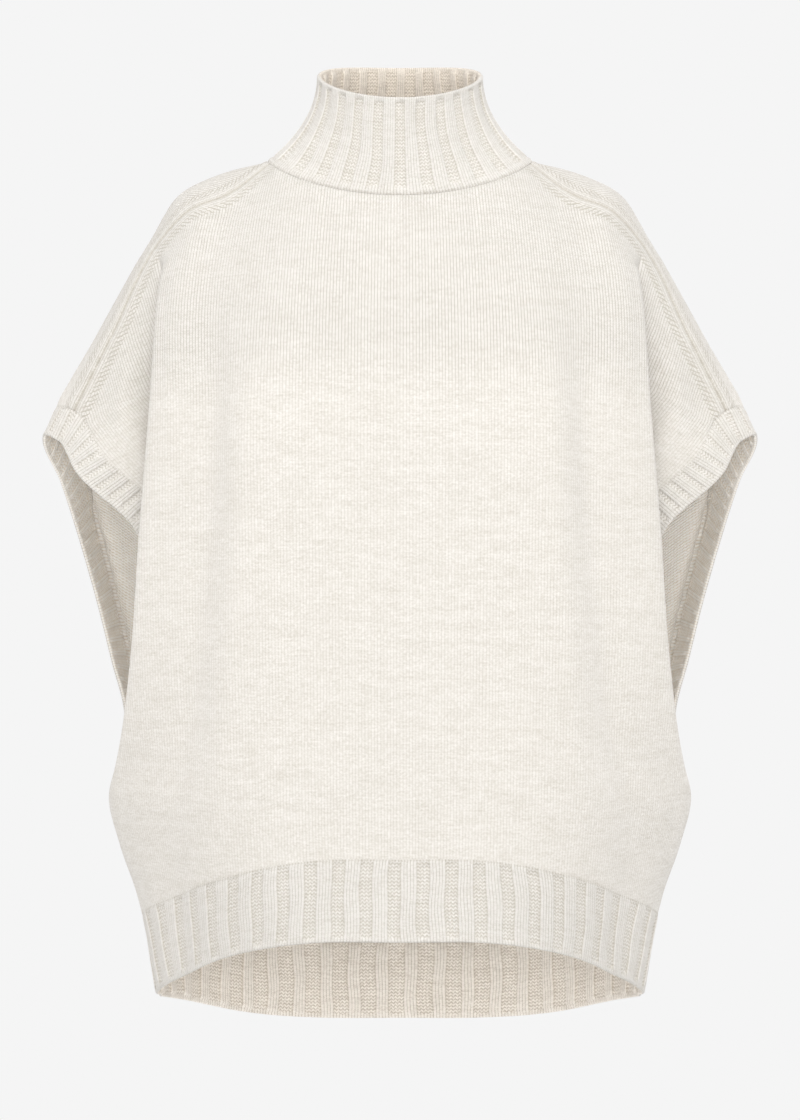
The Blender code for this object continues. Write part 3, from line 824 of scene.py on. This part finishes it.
def knit_places(points):
    """How far across and down the flat knitted panel each point of a half panel lies."""
    across, down = lengths_along(points, 1), lengths_along(points, 0)
    rows, columns = points.shape[:2]
    some_rows = np.unique(np.round(np.linspace(0, rows - 1, FLATTENING_ROWS)).astype(int))
    some_columns = np.unique(np.round(np.linspace(0, columns - 1, FLATTENING_COLUMNS)).astype(int))
    coarse = np.ix_(some_rows, some_columns)
    flat = lay_flat(points[coarse], across[coarse], down[coarse])
    flat = spread(flat, some_rows.astype(float), np.arange(rows, dtype=float))
    flat = spread(flat.transpose(1, 0, 2), some_columns.astype(float), np.arange(columns, dtype=float))
    return flat.transpose(1, 0, 2)


def both_halves(half):
    """A half grid with its mirror image before it, where the first of each point's values is negative."""
    mirrored = half[:, :0:-1].copy()
    mirrored[:, :, 0] *= -1
    return np.concatenate([mirrored, half], axis=1)


def grid_of(rows):
    return np.array([[tuple(point) for point in row] for row in rows])


def knit_piece(name, points, materials, maps):
    """A flat knitted grid laid on its form; the maps hold two values for each of its points."""
    rows, columns = points.shape[:2]
    bpy.ops.mesh.primitive_grid_add(x_subdivisions=columns - 1, y_subdivisions=rows - 1, size=1.0)
    piece = bpy.context.object
    piece.name = name
    mesh = piece.data
    mesh.name = name
    mesh.vertices.foreach_set("co", (points * MM).astype(np.float32).ravel())
    corner_vertices = np.zeros(len(mesh.loops), int)
    mesh.loops.foreach_get("vertex_index", corner_vertices)
    while mesh.uv_layers:
        mesh.uv_layers.remove(mesh.uv_layers[0])
    for title, values in maps.items():
        layer = mesh.uv_layers.new(name=title)
        layer.uv.foreach_set("vector", values.reshape(-1, 2)[corner_vertices].astype(np.float32).ravel())
    for material in materials:
        mesh.materials.append(material)
    return piece


def smooth_faces(piece):
    """Smooth faces, with a crisp turn where the wall's own edge meets them."""
    piece.data.shade_smooth()
    piece.data.set_sharp_from_angle(angle=math.radians(CRISP_TURN))
    piece.select_set(False)


def solid_sheet(name, outer, inner, wall, materials, maps):
    """A sheet with its wall; the first half of its vertices is its outer face and the rest its inner."""
    piece = knit_piece(name, outer, materials, maps)
    thickness = piece.modifiers.new("wall", "SOLIDIFY")
    thickness.thickness = wall * MM
    thickness.offset = -1
    thickness.material_offset = 1
    bpy.ops.object.modifier_apply(modifier=thickness.name)
    both = np.concatenate([outer.reshape(-1, 3), inner.reshape(-1, 3)]) * MM
    piece.data.vertices.foreach_set("co", both.astype(np.float32).ravel())
    piece.data.update()
    smooth_faces(piece)
    return piece


def ring_piece(name, outer, normals, left, maps, wall, materials):
    """A closed ring of ribbed cloth: out along its face, over the free edge and back along its inside."""
    drawn = round_edge(left, wall)[:, :, None]
    inner = outer - normals * (wall - drawn)
    outer = outer - normals * drawn
    around = np.concatenate([outer, inner[::-1], outer[:1]])
    maps = {title: np.concatenate([face, face[::-1], face[:1]]) for title, face in maps.items()}
    piece = knit_piece(name, around, materials, maps)
    rows, columns = around.shape[:2]
    inside = (np.arange(rows - 1) > rows / 2 - 1) & (np.arange(rows - 1) < rows - 2)
    piece.data.polygons.foreach_set("material_index", np.repeat(inside, columns - 1).astype(np.int32))
    bpy.ops.object.mode_set(mode="EDIT")
    bpy.ops.mesh.select_all(action="SELECT")
    bpy.ops.mesh.remove_doubles(threshold=MERGE_DISTANCE)
    bpy.ops.object.mode_set(mode="OBJECT")
    smooth_faces(piece)
    return piece


def fold_lines(shape):
    """The fold line that each column lies at or after, plus its share of the way to the next."""
    lines = []
    for span, count in enumerate(shape["neck_cells"]):
        lines += [span + cell / count for cell in range(count)]
    shoulder = Shoulder()
    stops = [*shape["seam_starts"], shoulder.rib_start]
    lines += list(np.interp(shoulder.columns(), stops, np.arange(len(stops)) + len(shape["neck_cells"])))
    return np.array(lines + [lines[-1] + 0.01 * (step + 1) for step in range(len(BESIDE_SIDE))])


def creases(points, lines, table):
    """How far the troughs and ridges of a table move each point of a half panel."""
    across = lengths_along(points, 1)
    shares = np.linspace(0, 1, len(points))
    moved = np.zeros(across.shape)
    for first, last, start, end, width, height in table:
        along = (shares - start) / (end - start)
        place = first + (last - first) * np.clip(along, 0, 1)
        middle = np.array([np.interp(at, lines, row) for at, row in zip(place, across)])
        fade = between(along, 0.0, CREASE_FADE) * (1 - between(along, 1 - CREASE_FADE, 1.0))
        moved += height * fade[:, None] * np.exp(-(((across - middle[:, None]) / width) ** 2))
    return moved


def soften(points, column):
    """Rounds off the bend that runs down from one column of the top edge."""
    beside = np.exp(-(((np.arange(points.shape[1]) - column) / BEND_COLUMNS) ** 2))
    below = between(np.arange(len(points), dtype=float), *BEND_ROWS)
    share = (below[:, None] * beside)[:, 1:-1, None]
    for _ in range(SMOOTHING_ROUNDS):
        middle = (points[:, :-2] + points[:, 2:]) / 2
        points[:, 1:-1] += (middle - points[:, 1:-1]) * share * SMOOTHING_PULL
    return points


def even_out(points):
    """Evens out the cells beside a half panel's side, where rows run into the armhole at a slant.

    It gives the points on the panel's own form and the evened ones, which its face's directions come from.
    """
    rows, columns = points.shape[:2]
    starts = (np.arange(rows - 1)[:, None] * columns + np.arange(columns - 1)).ravel()
    cells = np.stack([starts, starts + 1, starts + columns + 1, starts + columns], 1)
    form = BVHTree.FromPolygons(points.reshape(-1, 3).tolist(), cells.tolist())
    place = np.arange(1, columns - 1)[:, None] - columns
    share = between(place, -EVENED_COLUMNS[0], -EVENED_COLUMNS[1])
    for _ in range(SMOOTHING_ROUNDS):
        middle = (points[:-2, 1:-1] + points[2:, 1:-1] + points[1:-1, :-2] + points[1:-1, 2:]) / 4
        points[1:-1, 1:-1] += (middle - points[1:-1, 1:-1]) * share * SMOOTHING_PULL
    found = [form.find_nearest(point)[0] for point in points.reshape(-1, 3)]
    return np.array(found).reshape(points.shape), points


def sleeve_grain(knit, lines):
    """Leans the wales of the front's sleeve, behind the fold, towards the line of its rib."""
    places = knit.copy()
    places[:, :, 0] += np.interp(knit[:, :, 1], *GRAIN) * between(lines, *GRAIN_LINES)
    return places


def edge_places(wall, whole, rows):
    """Distances from a free edge, evenly down to the rounding and then evenly round it."""
    turns = np.sin(np.linspace(0, math.pi / 2, EDGE_STEPS + 1))
    return np.concatenate([np.linspace(whole, wall / 2, rows), wall / 2 * (1 - turns[1:])])


def roll(distance, depth):
    """How far a seam's edge of some depth rolls in at a distance from the seam."""
    return -depth * (1 - np.clip(distance / ROLL_REACH, 0, 1)) ** 2


def beside_side(points):
    """How far down a half panel's side and how far in from it each point lies."""
    down = lengths_along(points[:, -1:], 0)[:, 0]
    places = np.linspace(0, down[-1], 8 * len(down))
    side = spread(points[:, -1], down, places)
    along, beside = np.zeros(points.shape[:2]), np.full(points.shape[:2], FAR)
    gaps = np.linalg.norm(points[:, -SIDE_COLUMNS:, None] - side, axis=3)
    along[:, -SIDE_COLUMNS:] = places[gaps.argmin(2)]
    beside[:, -SIDE_COLUMNS:] = gaps.min(2)
    return along, beside


def seam_puckers(along, beside):
    """Small uneven puckers that the armhole rib pulls into the side of a half panel."""
    run, width_run, height_run = PUCKER_RUNS
    waves = np.sin(along / run + 1.3 * np.sin(along / width_run))
    waves = waves * (0.6 + 0.4 * np.sin(along / height_run + 1.0))
    return PUCKER_HEIGHT * waves * np.exp(-((beside - PUCKER_PLACE) / PUCKER_PLACE) ** 2)


def rib_height(phase, left, purl_share):
    """The rib's relief; the phase counts ribs from a purl column's middle, and left is up to the edge."""
    place = np.abs(phase - np.round(phase)) * 2
    raised = between(place, purl_share - RIB_FLANK, purl_share + RIB_FLANK)
    crest = np.exp(-(((place - purl_share - CREST_OFFSET) / RIB_FLANK) ** 2))
    height = RIB_RELIEF * (2 * raised - 1) + CREST_HEIGHT * crest
    inside_column = np.clip(place / purl_share, 0, 1)
    closes_at = CLOSING + CLOSING_ROUND * (1 - np.sqrt(1 - inside_column**2 * 0.99))
    return RIB_RELIEF + (height - RIB_RELIEF) * between(left, closes_at - 1.0, closes_at + 1.0)


def rib_sway(along, left):
    """How far ribs sway from straight lines, in ribs, from the lengths along and up from the free edge."""
    return sum(amount * np.sin(left / up + along / beside) for amount, up, beside in SWAYS)


def round_edge(left, wall):
    """How far each face of the cloth draws in towards the middle of its wall beside a free edge."""
    near = 1 - np.clip(left / (wall / 2), 0, 1)
    return wall / 2 * (1 - np.sqrt(np.maximum(1 - near**2, 0.0)))


class Value:
    """A node's output. Arithmetic on it adds Math nodes."""

    def __init__(self, nodes, socket):
        self.nodes = nodes
        self.socket = socket

    def math(self, operation, *values):
        return self.nodes.add("ShaderNodeMath", {"operation": operation}, values)

    def __rsub__(self, other):
        return self.math("SUBTRACT", other, self)


for title, operation in (("__add__", "ADD"), ("__sub__", "SUBTRACT"), ("__mul__", "MULTIPLY"),
                         ("__truediv__", "DIVIDE"), ("__pow__", "POWER"), ("__abs__", "ABSOLUTE"),
                         ("wrapped", "FRACT"), ("sine", "SINE"), ("limited", "MINIMUM")):
    setattr(Value, title, lambda *values, operation=operation: values[0].math(operation, *values))


class Nodes:
    """The node tree of one material."""

    def __init__(self, name):
        self.material = bpy.data.materials.new(name)
        self.material.use_nodes = True
        self.tree = self.material.node_tree
        self.tree.nodes.clear()

    def add(self, kind, settings, inputs, output=0):
        """A node with its settings and its inputs, by number or by name; gives one of its outputs."""
        node = self.tree.nodes.new(kind)
        for title, value in settings.items():
            setattr(node, title, value)
        pairs = inputs.items() if isinstance(inputs, dict) else enumerate(inputs)
        for key, value in pairs:
            if isinstance(value, Value):
                self.tree.links.new(value.socket, node.inputs[key])
            elif value is not None:
                node.inputs[key].default_value = value
        return Value(self, node.outputs[output]) if len(node.outputs) else None

    def step(self, value, low, high):
        return self.add("ShaderNodeMapRange", {"interpolation_type": "SMOOTHSTEP"},
                        {"Value": value, "From Min": low, "From Max": high})

    def mix(self, factor, first, second):
        return self.add("ShaderNodeMix", {"data_type": "RGBA"}, {0: factor, 6: first, 7: second}, output=2)

    def blend(self, factor, first, second):
        return first + (second - first) * factor

    def noise(self, across, down, detail):
        """Uneven values around 0."""
        place = self.add("ShaderNodeCombineXYZ", {}, [across, down, 0.0])
        return self.add("ShaderNodeTexNoise", {"noise_dimensions": "2D"},
                        {"Vector": place, "Scale": 1.0, "Detail": detail}) - 0.5

    def map(self, title):
        """Both coordinates of one of the piece's own maps."""
        place = self.add("ShaderNodeUVMap", {"uv_map": title}, [])
        split = self.tree.nodes.new("ShaderNodeSeparateXYZ")
        self.tree.links.new(place.socket, split.inputs[0])
        return Value(self, split.outputs[0]), Value(self, split.outputs[1])


def knit_stitch(nodes, across, down, lean=1.0):
    """The face of plain knit: two leaning legs to a stitch, in wales with a groove between them."""
    side = abs(across.wrapped() - 0.5) * 2
    leg = ((down + side * lean).wrapped() * math.pi).sine()
    wale = 1 - side**4
    return wale * (leg * LEG_HEIGHT + (1 - LEG_HEIGHT)) - nodes.step(side, DIP_WIDTH, 0.0) * DIP_DEPTH


def purl_stitch(across, down):
    """The back of plain knit: rows of small arcs that lock into each other."""
    arc = (down.wrapped() * math.pi).sine()
    return arc * PURL_ARC + (across.wrapped() * math.pi).sine() * (1 - PURL_ARC)


def wool(nodes, height, across, down, tint, contrast, depth, shade):
    """Finishes a knit in pale heathered wool; the height is 0 in the grooves and 1 on the yarn.

    Its colour paints shade into the grooves and light onto the yarn by that height, and adds the painted
    light or shade that it is given and the heather.
    """
    # Painted shade and light: darker in the grooves and lighter on the yarn, plus the painted shade or light
    # given, plus the heather's own tone.
    light = (height - MEAN_HEIGHT) * contrast + MEAN_LIGHT + shade
    for wide, high, detail, amount in HEATHER:
        uneven = nodes.noise(across * wide, down * high, detail)
        light = light + uneven * amount
    colour = nodes.mix(light, *tint)
    bump = nodes.add("ShaderNodeBump", {}, {"Strength": 1.0, "Distance": depth * MM, "Filter Width": 0.1,
                                            "Height": height + uneven * FIBRE_BUMP})
    surface = nodes.add("ShaderNodeBsdfPrincipled", {}, {
        "Base Color": colour, "Normal": bump, "Roughness": 0.92, "Specular IOR Level": 0.15,
        "Sheen Weight": 0.25, "Sheen Roughness": 0.55})
    nodes.add("ShaderNodeOutputMaterial", {}, {"Surface": surface})
    return nodes.material


def plain_knit(name):
    """The outside of the panels, with the band of wales that runs along the shoulder seam, and painted shade
    along the seam and in the marks beside the band.
    """
    nodes = Nodes(name)
    across, down = nodes.map("knit")
    along, away = nodes.map("seam")
    face = knit_stitch(nodes, across, down)
    band = knit_stitch(nodes, away, along)
    in_band = nodes.step(away, SEAM_BAND + 0.15, SEAM_BAND - 0.15)
    face = nodes.blend(nodes.step(down, *FUZZY_FROM) * FUZZINESS, face, MEAN_HEIGHT)
    slant = ((along + (away - SEAM_BAND) * MARK_SLANT) * MARK_RATE).wrapped()
    mark = nodes.step(abs(away - SEAM_BAND), *MARK_WIDTH) * nodes.step(abs(slant - 0.5), *MARK_LENGTH)
    height = nodes.blend(in_band, face, band) * (1 - mark * MARK_DEPTH)
    # Painted shade: darker along the shoulder seam's line and in the marks beside its band.
    shade = nodes.step(away, *SEAM_LINE) * SEAM_SHADE - mark * MARK_SHADE
    return wool(nodes, height, across, down, OUTSIDE_WOOL, PLAIN_CONTRAST, PLAIN_DEPTH, shade)


def purl_side(name):
    """The inside of the panels."""
    nodes = Nodes(name)
    across, down = nodes.map("knit")
    wave = (across * (2 * math.pi)).sine() * PURL_WAVE
    beyond = abs(across) - ROW_TURN
    rise = beyond * nodes.step(beyond, -ROW_BEND, ROW_BEND) * ROW_RISE
    height = purl_stitch(across, down * INSIDE_STRETCH + wave + rise)
    # The inside of the panels is painted lighter: painted light where little light gets in.
    return wool(nodes, height, across, down, INSIDE_WOOL_AND_PAINTED_LIGHT, INSIDE_CONTRAST, INSIDE_DEPTH, INSIDE_PAINTED_LIGHT)


def rib_knit(name, rib, tint, painted_shading, lean, start, inside=False):
    """A rib, whose purl columns start some courses from the seam and close in a round at the free edge."""
    nodes = Nodes(name)
    across, up = nodes.map("knit")
    from_seam = nodes.map("seam")[1]
    share = rib["purls"] / rib["wales"]
    place = abs((across / rib["wales"] + 0.5).wrapped() - 0.5) * 2
    if inside:
        share, place = 1 - share, 1 - place
    in_column = nodes.step(place, share + 0.03, share - 0.03)
    rounded = 1 - (1 - (place / share).limited(0.99) ** 2) ** 0.5
    closed = nodes.step(up * RIB_COURSE - rounded * CLOSING_ROUND, *CLOSED_STITCHES)
    purled = in_column * (1 - closed) * nodes.step(from_seam, start - 0.5, start + 0.5)
    face = knit_stitch(nodes, across, up, lean)
    zigzag = abs((across * ZIGZAG[0]).wrapped() - 0.5) * ZIGZAG[1]
    back = purl_stitch(across, up * PURL_STRETCH + zigzag)
    height = nodes.blend(purled, face, back)
    crest, valley = (nodes.step(abs(place - share - middle), *reach) for middle, *reach in RIB_BANDS)
    link = nodes.step(from_seam, *LINK_ROW) * ((across * (2 * math.pi)).sine() * 0.4 + 0.6)
    # Painted highlight on the crest, painted shade in the purl columns, the valley and along the linking
    # row, and painted light over all of the rib.
    shade = crest * painted_shading[0] - purled * painted_shading[1] - valley * painted_shading[2] - link * painted_shading[3] + RIB_PAINTED_LIGHT
    return wool(nodes, height, across, up, tint, RIB_CONTRAST, RIB_DEPTH, shade)


def rib_looks(name, rib, inside_wool_and_painted_light, painted_shading, inside_painted_shading, lean=1.0, start=PURL_START):
    """The materials of a rib's face and inside; lean is 1 or -1 for the way that its stitches point."""
    # The inside's colours are lighter and warmer than the face's: painted light that stands in for the light
    # bounced about inside.
    return [rib_knit(name + "_rib_face", rib, OUTSIDE_WOOL, painted_shading, lean, start),
            rib_knit(name + "_rib_inside", rib, inside_wool_and_painted_light, inside_painted_shading, lean, PURL_START, inside=True)]


def lay_panel(shape, over_crest, table, reverse):
    """The front or the back: its grid, creased and rolled in at its seams, and its knit map."""
    panel = Panel(shape, over_crest)
    at_neck = sum(shape["neck_cells"])
    half, evened = even_out(soften(grid_of(panel.panel_rows()), at_neck))
    lines = fold_lines(shape)
    knit = knit_places(half)
    along, beside = beside_side(half)
    top = lengths_along(half, 0)
    sides = []
    for side in (-1, 1):
        moved = creases(half, lines, table[side])
        moved[:, :at_neck] += roll(top[:, :at_neck], NECK_ROLL)
        moved[:, at_neck:] += roll(top[:, at_neck:], SHOULDER_ROLL)
        moved += roll(beside, SIDE_ROLL) + seam_puckers(along, beside)
        sides.append(moved)
    points, evened = both_halves(half), both_halves(evened)
    moved = np.concatenate([sides[0][:, :0:-1], sides[1]], axis=1)
    places = both_halves(knit if over_crest else sleeve_grain(knit, lines))
    if reverse:
        points, evened, moved, places = (grid[:, ::-1] for grid in (points, evened, moved, places))
    normals = outward(evened, closed=False)
    outer = points + normals * moved[:, :, None]
    inner = outer - normals * BODY_WALL
    maps = {"knit": places / (WALE, COURSE), "seam": seam_places(panel.shoulder, points)}
    return panel, outer, inner, maps, knit


def seam_places(shoulder, points):
    """How far along the shoulder seam and how far away from it each point lies, in courses and wales."""
    distances = np.linspace(0, shoulder.seam.length, SEAM_STATIONS)
    seam = np.array([tuple(shoulder.seam.along(distance)) for distance in distances])
    found = np.full(points.shape[:2] + (2,), FAR)
    on_left = points.reshape(-1, 3).copy()
    on_left[:, 0] = np.abs(on_left[:, 0])
    near = np.flatnonzero(on_left[:, 2] > seam[:, 2].min() - SEAM_REACH)
    gaps = np.linalg.norm(on_left[near, None, :] - seam[None], axis=2)
    nearest = gaps.argmin(1)
    found.reshape(-1, 2)[near, 0] = distances[nearest] / COURSE
    found.reshape(-1, 2)[near, 1] = gaps[np.arange(len(near)), nearest] / WALE
    return found


def flat_cut(knit):
    """The width, length and area of a whole panel's flat cut, in metres, from its half's knit map."""
    across, down = knit[:, :, 0], knit[:, :, 1]
    edge = np.concatenate([knit[0], knit[1:, -1], knit[-1, -2::-1], knit[-2:0:-1, 0]])
    area = abs(np.sum(edge[:, 0] * np.roll(edge[:, 1], -1) - np.roll(edge[:, 0], -1) * edge[:, 1])) / 2
    width, length = 2 * across.max(), down.max() - down.min()
    return (width * MM, length * MM), 2 * area * MM * MM


def declare(piece, node, flat, area=None, rests_on=()):
    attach(piece, "root")
    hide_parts(node)
    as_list(rests_on)


def make_panel(name, node, shape, over_crest, table, materials, reverse):
    panel, outer, inner, maps, knit = lay_panel(shape, over_crest, table, reverse)
    piece = solid_sheet(name, outer, inner, BODY_WALL, materials, maps)
    declare(piece, node, *flat_cut(knit))
    return panel


def make_hem_rib(name, node, panel, rib, materials, reverse):
    """A hem rib: the panel's own last stretch, with ribs that close in a round at the edge."""
    half = grid_of(panel.hem_rib_rows())
    across = lengths_along(half, 1).mean(0)
    to_side = np.linspace(0, across[-1], HEM_COLUMNS)
    half = spread(half.transpose(1, 0, 2), across, to_side).transpose(1, 0, 2)
    rows = np.linspace(0, HEM_RIB_HEIGHT, HEM_RIB_ROWS + 1)
    left = edge_places(RIB_WALL, HEM_RIB_HEIGHT, HEM_ROWS)
    half = spread(half, rows, HEM_RIB_HEIGHT - left)
    points = both_halves(half)
    signed = np.broadcast_to(np.concatenate([-to_side[:0:-1], to_side]), points.shape[:2])
    if reverse:
        points, signed = points[:, ::-1], signed[:, ::-1]
    left = np.broadcast_to(left[:, None], points.shape[:2])
    phase = (signed - rib["middle"]) / rib["pitch"] + rib_sway(signed, left)
    height = rib_height(phase, left, rib["purls"] / rib["wales"])
    fade = between(left, HEM_RIB_HEIGHT, HEM_RIB_HEIGHT - HEM_START)
    moved = height * fade + roll(across[-1] - np.abs(signed), SIDE_ROLL) - RIB_RELIEF * 0.5 * fade
    normals = outward(points, closed=False)
    drawn = round_edge(left, RIB_WALL)
    outer = points + normals * (moved - drawn)[:, :, None]
    inner = points + normals * (moved - RIB_WALL + drawn)[:, :, None]
    maps = rib_maps(phase * rib["wales"], left, HEM_RIB_HEIGHT - left)
    piece = solid_sheet(name, outer, inner, RIB_WALL, materials, maps)
    declare(piece, node, (2 * across[-1] * MM, HEM_RIB_HEIGHT * MM))


def rib_maps(wales, left, up):
    """A rib's maps: wales across, with courses counted from its free edge and from its seam."""
    return {"knit": np.stack([wales, left / RIB_COURSE], 2), "seam": np.stack([wales, up / RIB_COURSE], 2)}


def collar_ring(rise, count):
    """The collar's ring at a rise, evenly spaced; it starts and ends at the front and runs to -X first."""
    angles = np.linspace(2 * math.pi, 0, COLLAR_STATIONS)
    ring = np.array([tuple(collar_point(angle, rise)) for angle in angles])
    lengths = np.concatenate([[0], np.cumsum(np.linalg.norm(np.diff(ring, axis=0), axis=1))])
    even = np.interp(np.linspace(0, lengths[-1], count), lengths, angles)
    return [collar_point(angle, rise) for angle in even], lengths[-1]


def make_collar(materials):
    """The collar: its ribs start beyond the row that links it on, which is a lumpy bead."""
    rings = [collar_ring(rise, COLLAR_COLUMNS + 1) for rise in np.linspace(0, 1, COLLAR_ROWS)]
    points = grid_of([ring for ring, _ in rings])[:, ::-1]
    rim_length = rings[-1][1]
    whole = lengths_along(points, 0)[-1].mean()
    places = 1 - edge_places(COLLAR_WALL, whole, COLLAR_ROWS) / whole
    points = spread(points, np.linspace(0, 1, COLLAR_ROWS), places)
    left = np.broadcast_to(whole * (1 - places)[:, None], points.shape[:2])
    up = lengths_along(points, 0)
    ribs = np.linspace(0, COLLAR_RIBS, COLLAR_COLUMNS + 1)
    from_closing = COLLAR_RIBS / 2 - np.abs(ribs - COLLAR_RIBS / 2)
    phase = ribs + rib_sway(ribs * COLLAR_PITCH, left) * between(from_closing, 0, 1)
    height = rib_height(phase, left, COLLAR_RIB["purls"] / COLLAR_RIB["wales"])
    bead = LINK_BEAD * np.sin(math.pi * np.clip(up / LINK_WIDTH, 0, 1)) ** 0.7
    lumps = np.sin(ribs * 6 * math.pi + 0.7 * np.sin(ribs * math.pi / 3))
    bead = bead * (1 - LINK_LUMPS + LINK_LUMPS * lumps)
    moved = (height - RIB_RELIEF * 0.5) * between(up, *COLLAR_START) + roll(up, NECK_ROLL) + bead
    normals = outward(points, closed=True)
    outer = points + normals * moved[:, :, None]
    maps = rib_maps(phase * COLLAR_RIB["wales"], left, up)
    piece = ring_piece("collar_cloth", outer, normals, left, maps, COLLAR_WALL, materials)
    declare(piece, "collar", (rim_length * COLLAR_CUT * MM, left[0].mean() * MM))


def armhole_ring(front, back, count):
    """The seam and the free edge of an armhole rib, evenly spaced down the front and up the back."""
    down_front = np.linspace(0, front.outer.underarm, ARMHOLE_STATIONS)
    up_back = np.linspace(back.outer.underarm, 0, ARMHOLE_STATIONS)[1:]
    pairs = [front.across_rib(distance) for distance in down_front]
    pairs += [back.across_rib(distance) for distance in up_back]
    seam = np.array([tuple(pair[0]) for pair in pairs])
    edge = np.array([tuple(pair[1]) for pair in pairs])
    middle = (seam + edge) / 2
    lengths = np.concatenate([[0], np.cumsum(np.linalg.norm(np.diff(middle, axis=0), axis=1))])
    even = np.linspace(0, lengths[-1], count)
    return spread(seam, lengths, even), spread(edge, lengths, even), lengths[-1]


def make_armhole_rib(side, name, front, back, materials):
    seam, edge, length = armhole_ring(front, back, ARMHOLE_COLUMNS + 1)
    seam[-1], edge[-1] = seam[0], edge[0]
    shares = 1 - edge_places(RIB_WALL, ARMHOLE_RIB_WIDTH, ARMHOLE_ROWS) / ARMHOLE_RIB_WIDTH
    points = seam[None] + (edge - seam)[None] * shares[:, None, None]
    if side < 0:
        points = (points * (-1, 1, 1))[:, ::-1]
    up = lengths_along(points, 0)
    left = up[-1:] - up
    phase = np.broadcast_to(np.linspace(0, ARMHOLE_RIBS, ARMHOLE_COLUMNS + 1), points.shape[:2])
    height = rib_height(phase, left, ARMHOLE_RIB["purls"] / ARMHOLE_RIB["wales"])
    moved = (height - RIB_RELIEF * 0.5) * ARMHOLE_RELIEF * between(up, *ARMHOLE_START)
    moved = moved + roll(up, SIDE_ROLL)
    normals = outward(points, closed=True)
    outer = points + normals * moved[:, :, None]
    maps = rib_maps(phase * ARMHOLE_RIB["wales"], left, up)
    piece = ring_piece(name + "_cloth", outer, normals, left, maps, RIB_WALL, materials)
    declare(piece, name + "_rib", (length * MM, ARMHOLE_RIB_WIDTH * MM))


def make_floor():
    """A pale floor that fades into the light around it."""
    lowest = CAD_BOX[0].z
    bpy.ops.mesh.primitive_circle_add(vertices=96, radius=FLOOR_RADIUS, fill_type="NGON",
                                      location=(0, 0, lowest - FLOOR_DROP))
    floor = bpy.context.object
    floor.name = "floor"
    nodes = Nodes("pale_floor")
    place = nodes.add("ShaderNodeTexCoord", {}, [], output=3)
    away = nodes.add("ShaderNodeVectorMath", {"operation": "LENGTH"}, [place], output=1)
    paint = nodes.add("ShaderNodeBsdfDiffuse", {}, {"Color": FLOOR_PAINT})
    glow = nodes.add("ShaderNodeEmission", {}, {"Color": BACKGROUND, "Strength": 1.0})
    faded = nodes.step(away, *FLOOR_FADE)
    surface = nodes.add("ShaderNodeMixShader", {}, [faded, paint, glow])
    nodes.add("ShaderNodeOutputMaterial", {}, {"Surface": surface})
    floor.data.materials.append(nodes.material)
    floor.select_set(False)
    floor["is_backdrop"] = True


def make_light(name, place, size, power):
    data = bpy.data.lights.new(name, "AREA")
    data.shape = "RECTANGLE"
    data.size, data.size_y = size
    data.energy = power
    light = bpy.data.objects.new(name, data)
    bpy.context.collection.objects.link(light)
    light.location = place
    light.rotation_euler = (Vector(LIGHT_TARGET) - Vector(place)).to_track_quat("-Z", "Y").to_euler()
    light.visible_camera = False


def make_surroundings():
    world = bpy.data.worlds.new("pale_studio")
    bpy.context.scene.world = world
    world.use_nodes = True
    background = world.node_tree.nodes["Background"]
    background.inputs["Color"].default_value = BACKGROUND
    background.inputs["Strength"].default_value = 1.0
    bpy.context.scene.view_settings.view_transform = "Standard"
    for lamp in LIGHTS:
        make_light(*lamp)


def make_camera():
    data = bpy.data.cameras.new("camera")
    data.sensor_fit = "AUTO"
    data.sensor_width = SENSOR
    data.lens = SENSOR / (FRAME_HEIGHT / CAMERA_DISTANCE)
    camera = bpy.data.objects.new("camera", data)
    bpy.context.collection.objects.link(camera)
    camera.location = (0.0, -CAMERA_DISTANCE, CAMERA_HEIGHT)
    camera.rotation_euler = (math.pi / 2, 0.0, 0.0)
    bpy.context.scene.camera = camera


def main():
    bpy.ops.object.select_all(action="DESELECT")
    make_camera()
    make_surroundings()
    make_floor()
    knit, purl = plain_knit("plain_knit"), purl_side("purl_side")
    panels = [knit, purl]
    front = make_panel("front_cloth", "front_panel", FRONT_SHAPE, False, FRONT_CREASES, panels, True)
    back = make_panel("back_cloth", "back_panel", BACK_SHAPE, True, BACK_CREASES, panels, False)
    rib = rib_looks("hem", HEM_RIB, HEM_INSIDE_WOOL_AND_PAINTED_LIGHT, RIB_PAINTED_SHADING, INSIDE_RIB_PAINTED_SHADING, lean=-1.0)
    make_hem_rib("front_hem_cloth", "front_hem_rib", front, HEM_RIB, rib, True)
    make_hem_rib("back_hem_cloth", "back_hem_rib", back, BACK_HEM_RIB, rib, False)
    make_collar(rib_looks("collar", COLLAR_RIB, COLLAR_INSIDE_WOOL_AND_PAINTED_LIGHT, RIB_PAINTED_SHADING, INSIDE_RIB_PAINTED_SHADING,
                          start=COLLAR_PURL_START))
    rib = rib_looks("armhole", ARMHOLE_RIB, INSIDE_WOOL_AND_PAINTED_LIGHT, ARMHOLE_RIB_PAINTED_SHADING, ARMHOLE_RIB_PAINTED_SHADING)
    for side, name in ((1, "left_armhole"), (-1, "right_armhole")):
        make_armhole_rib(side, name, front, back, rib)


main()

[[list(corner) for corner in box] for box in (CAD_BOX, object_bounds())]
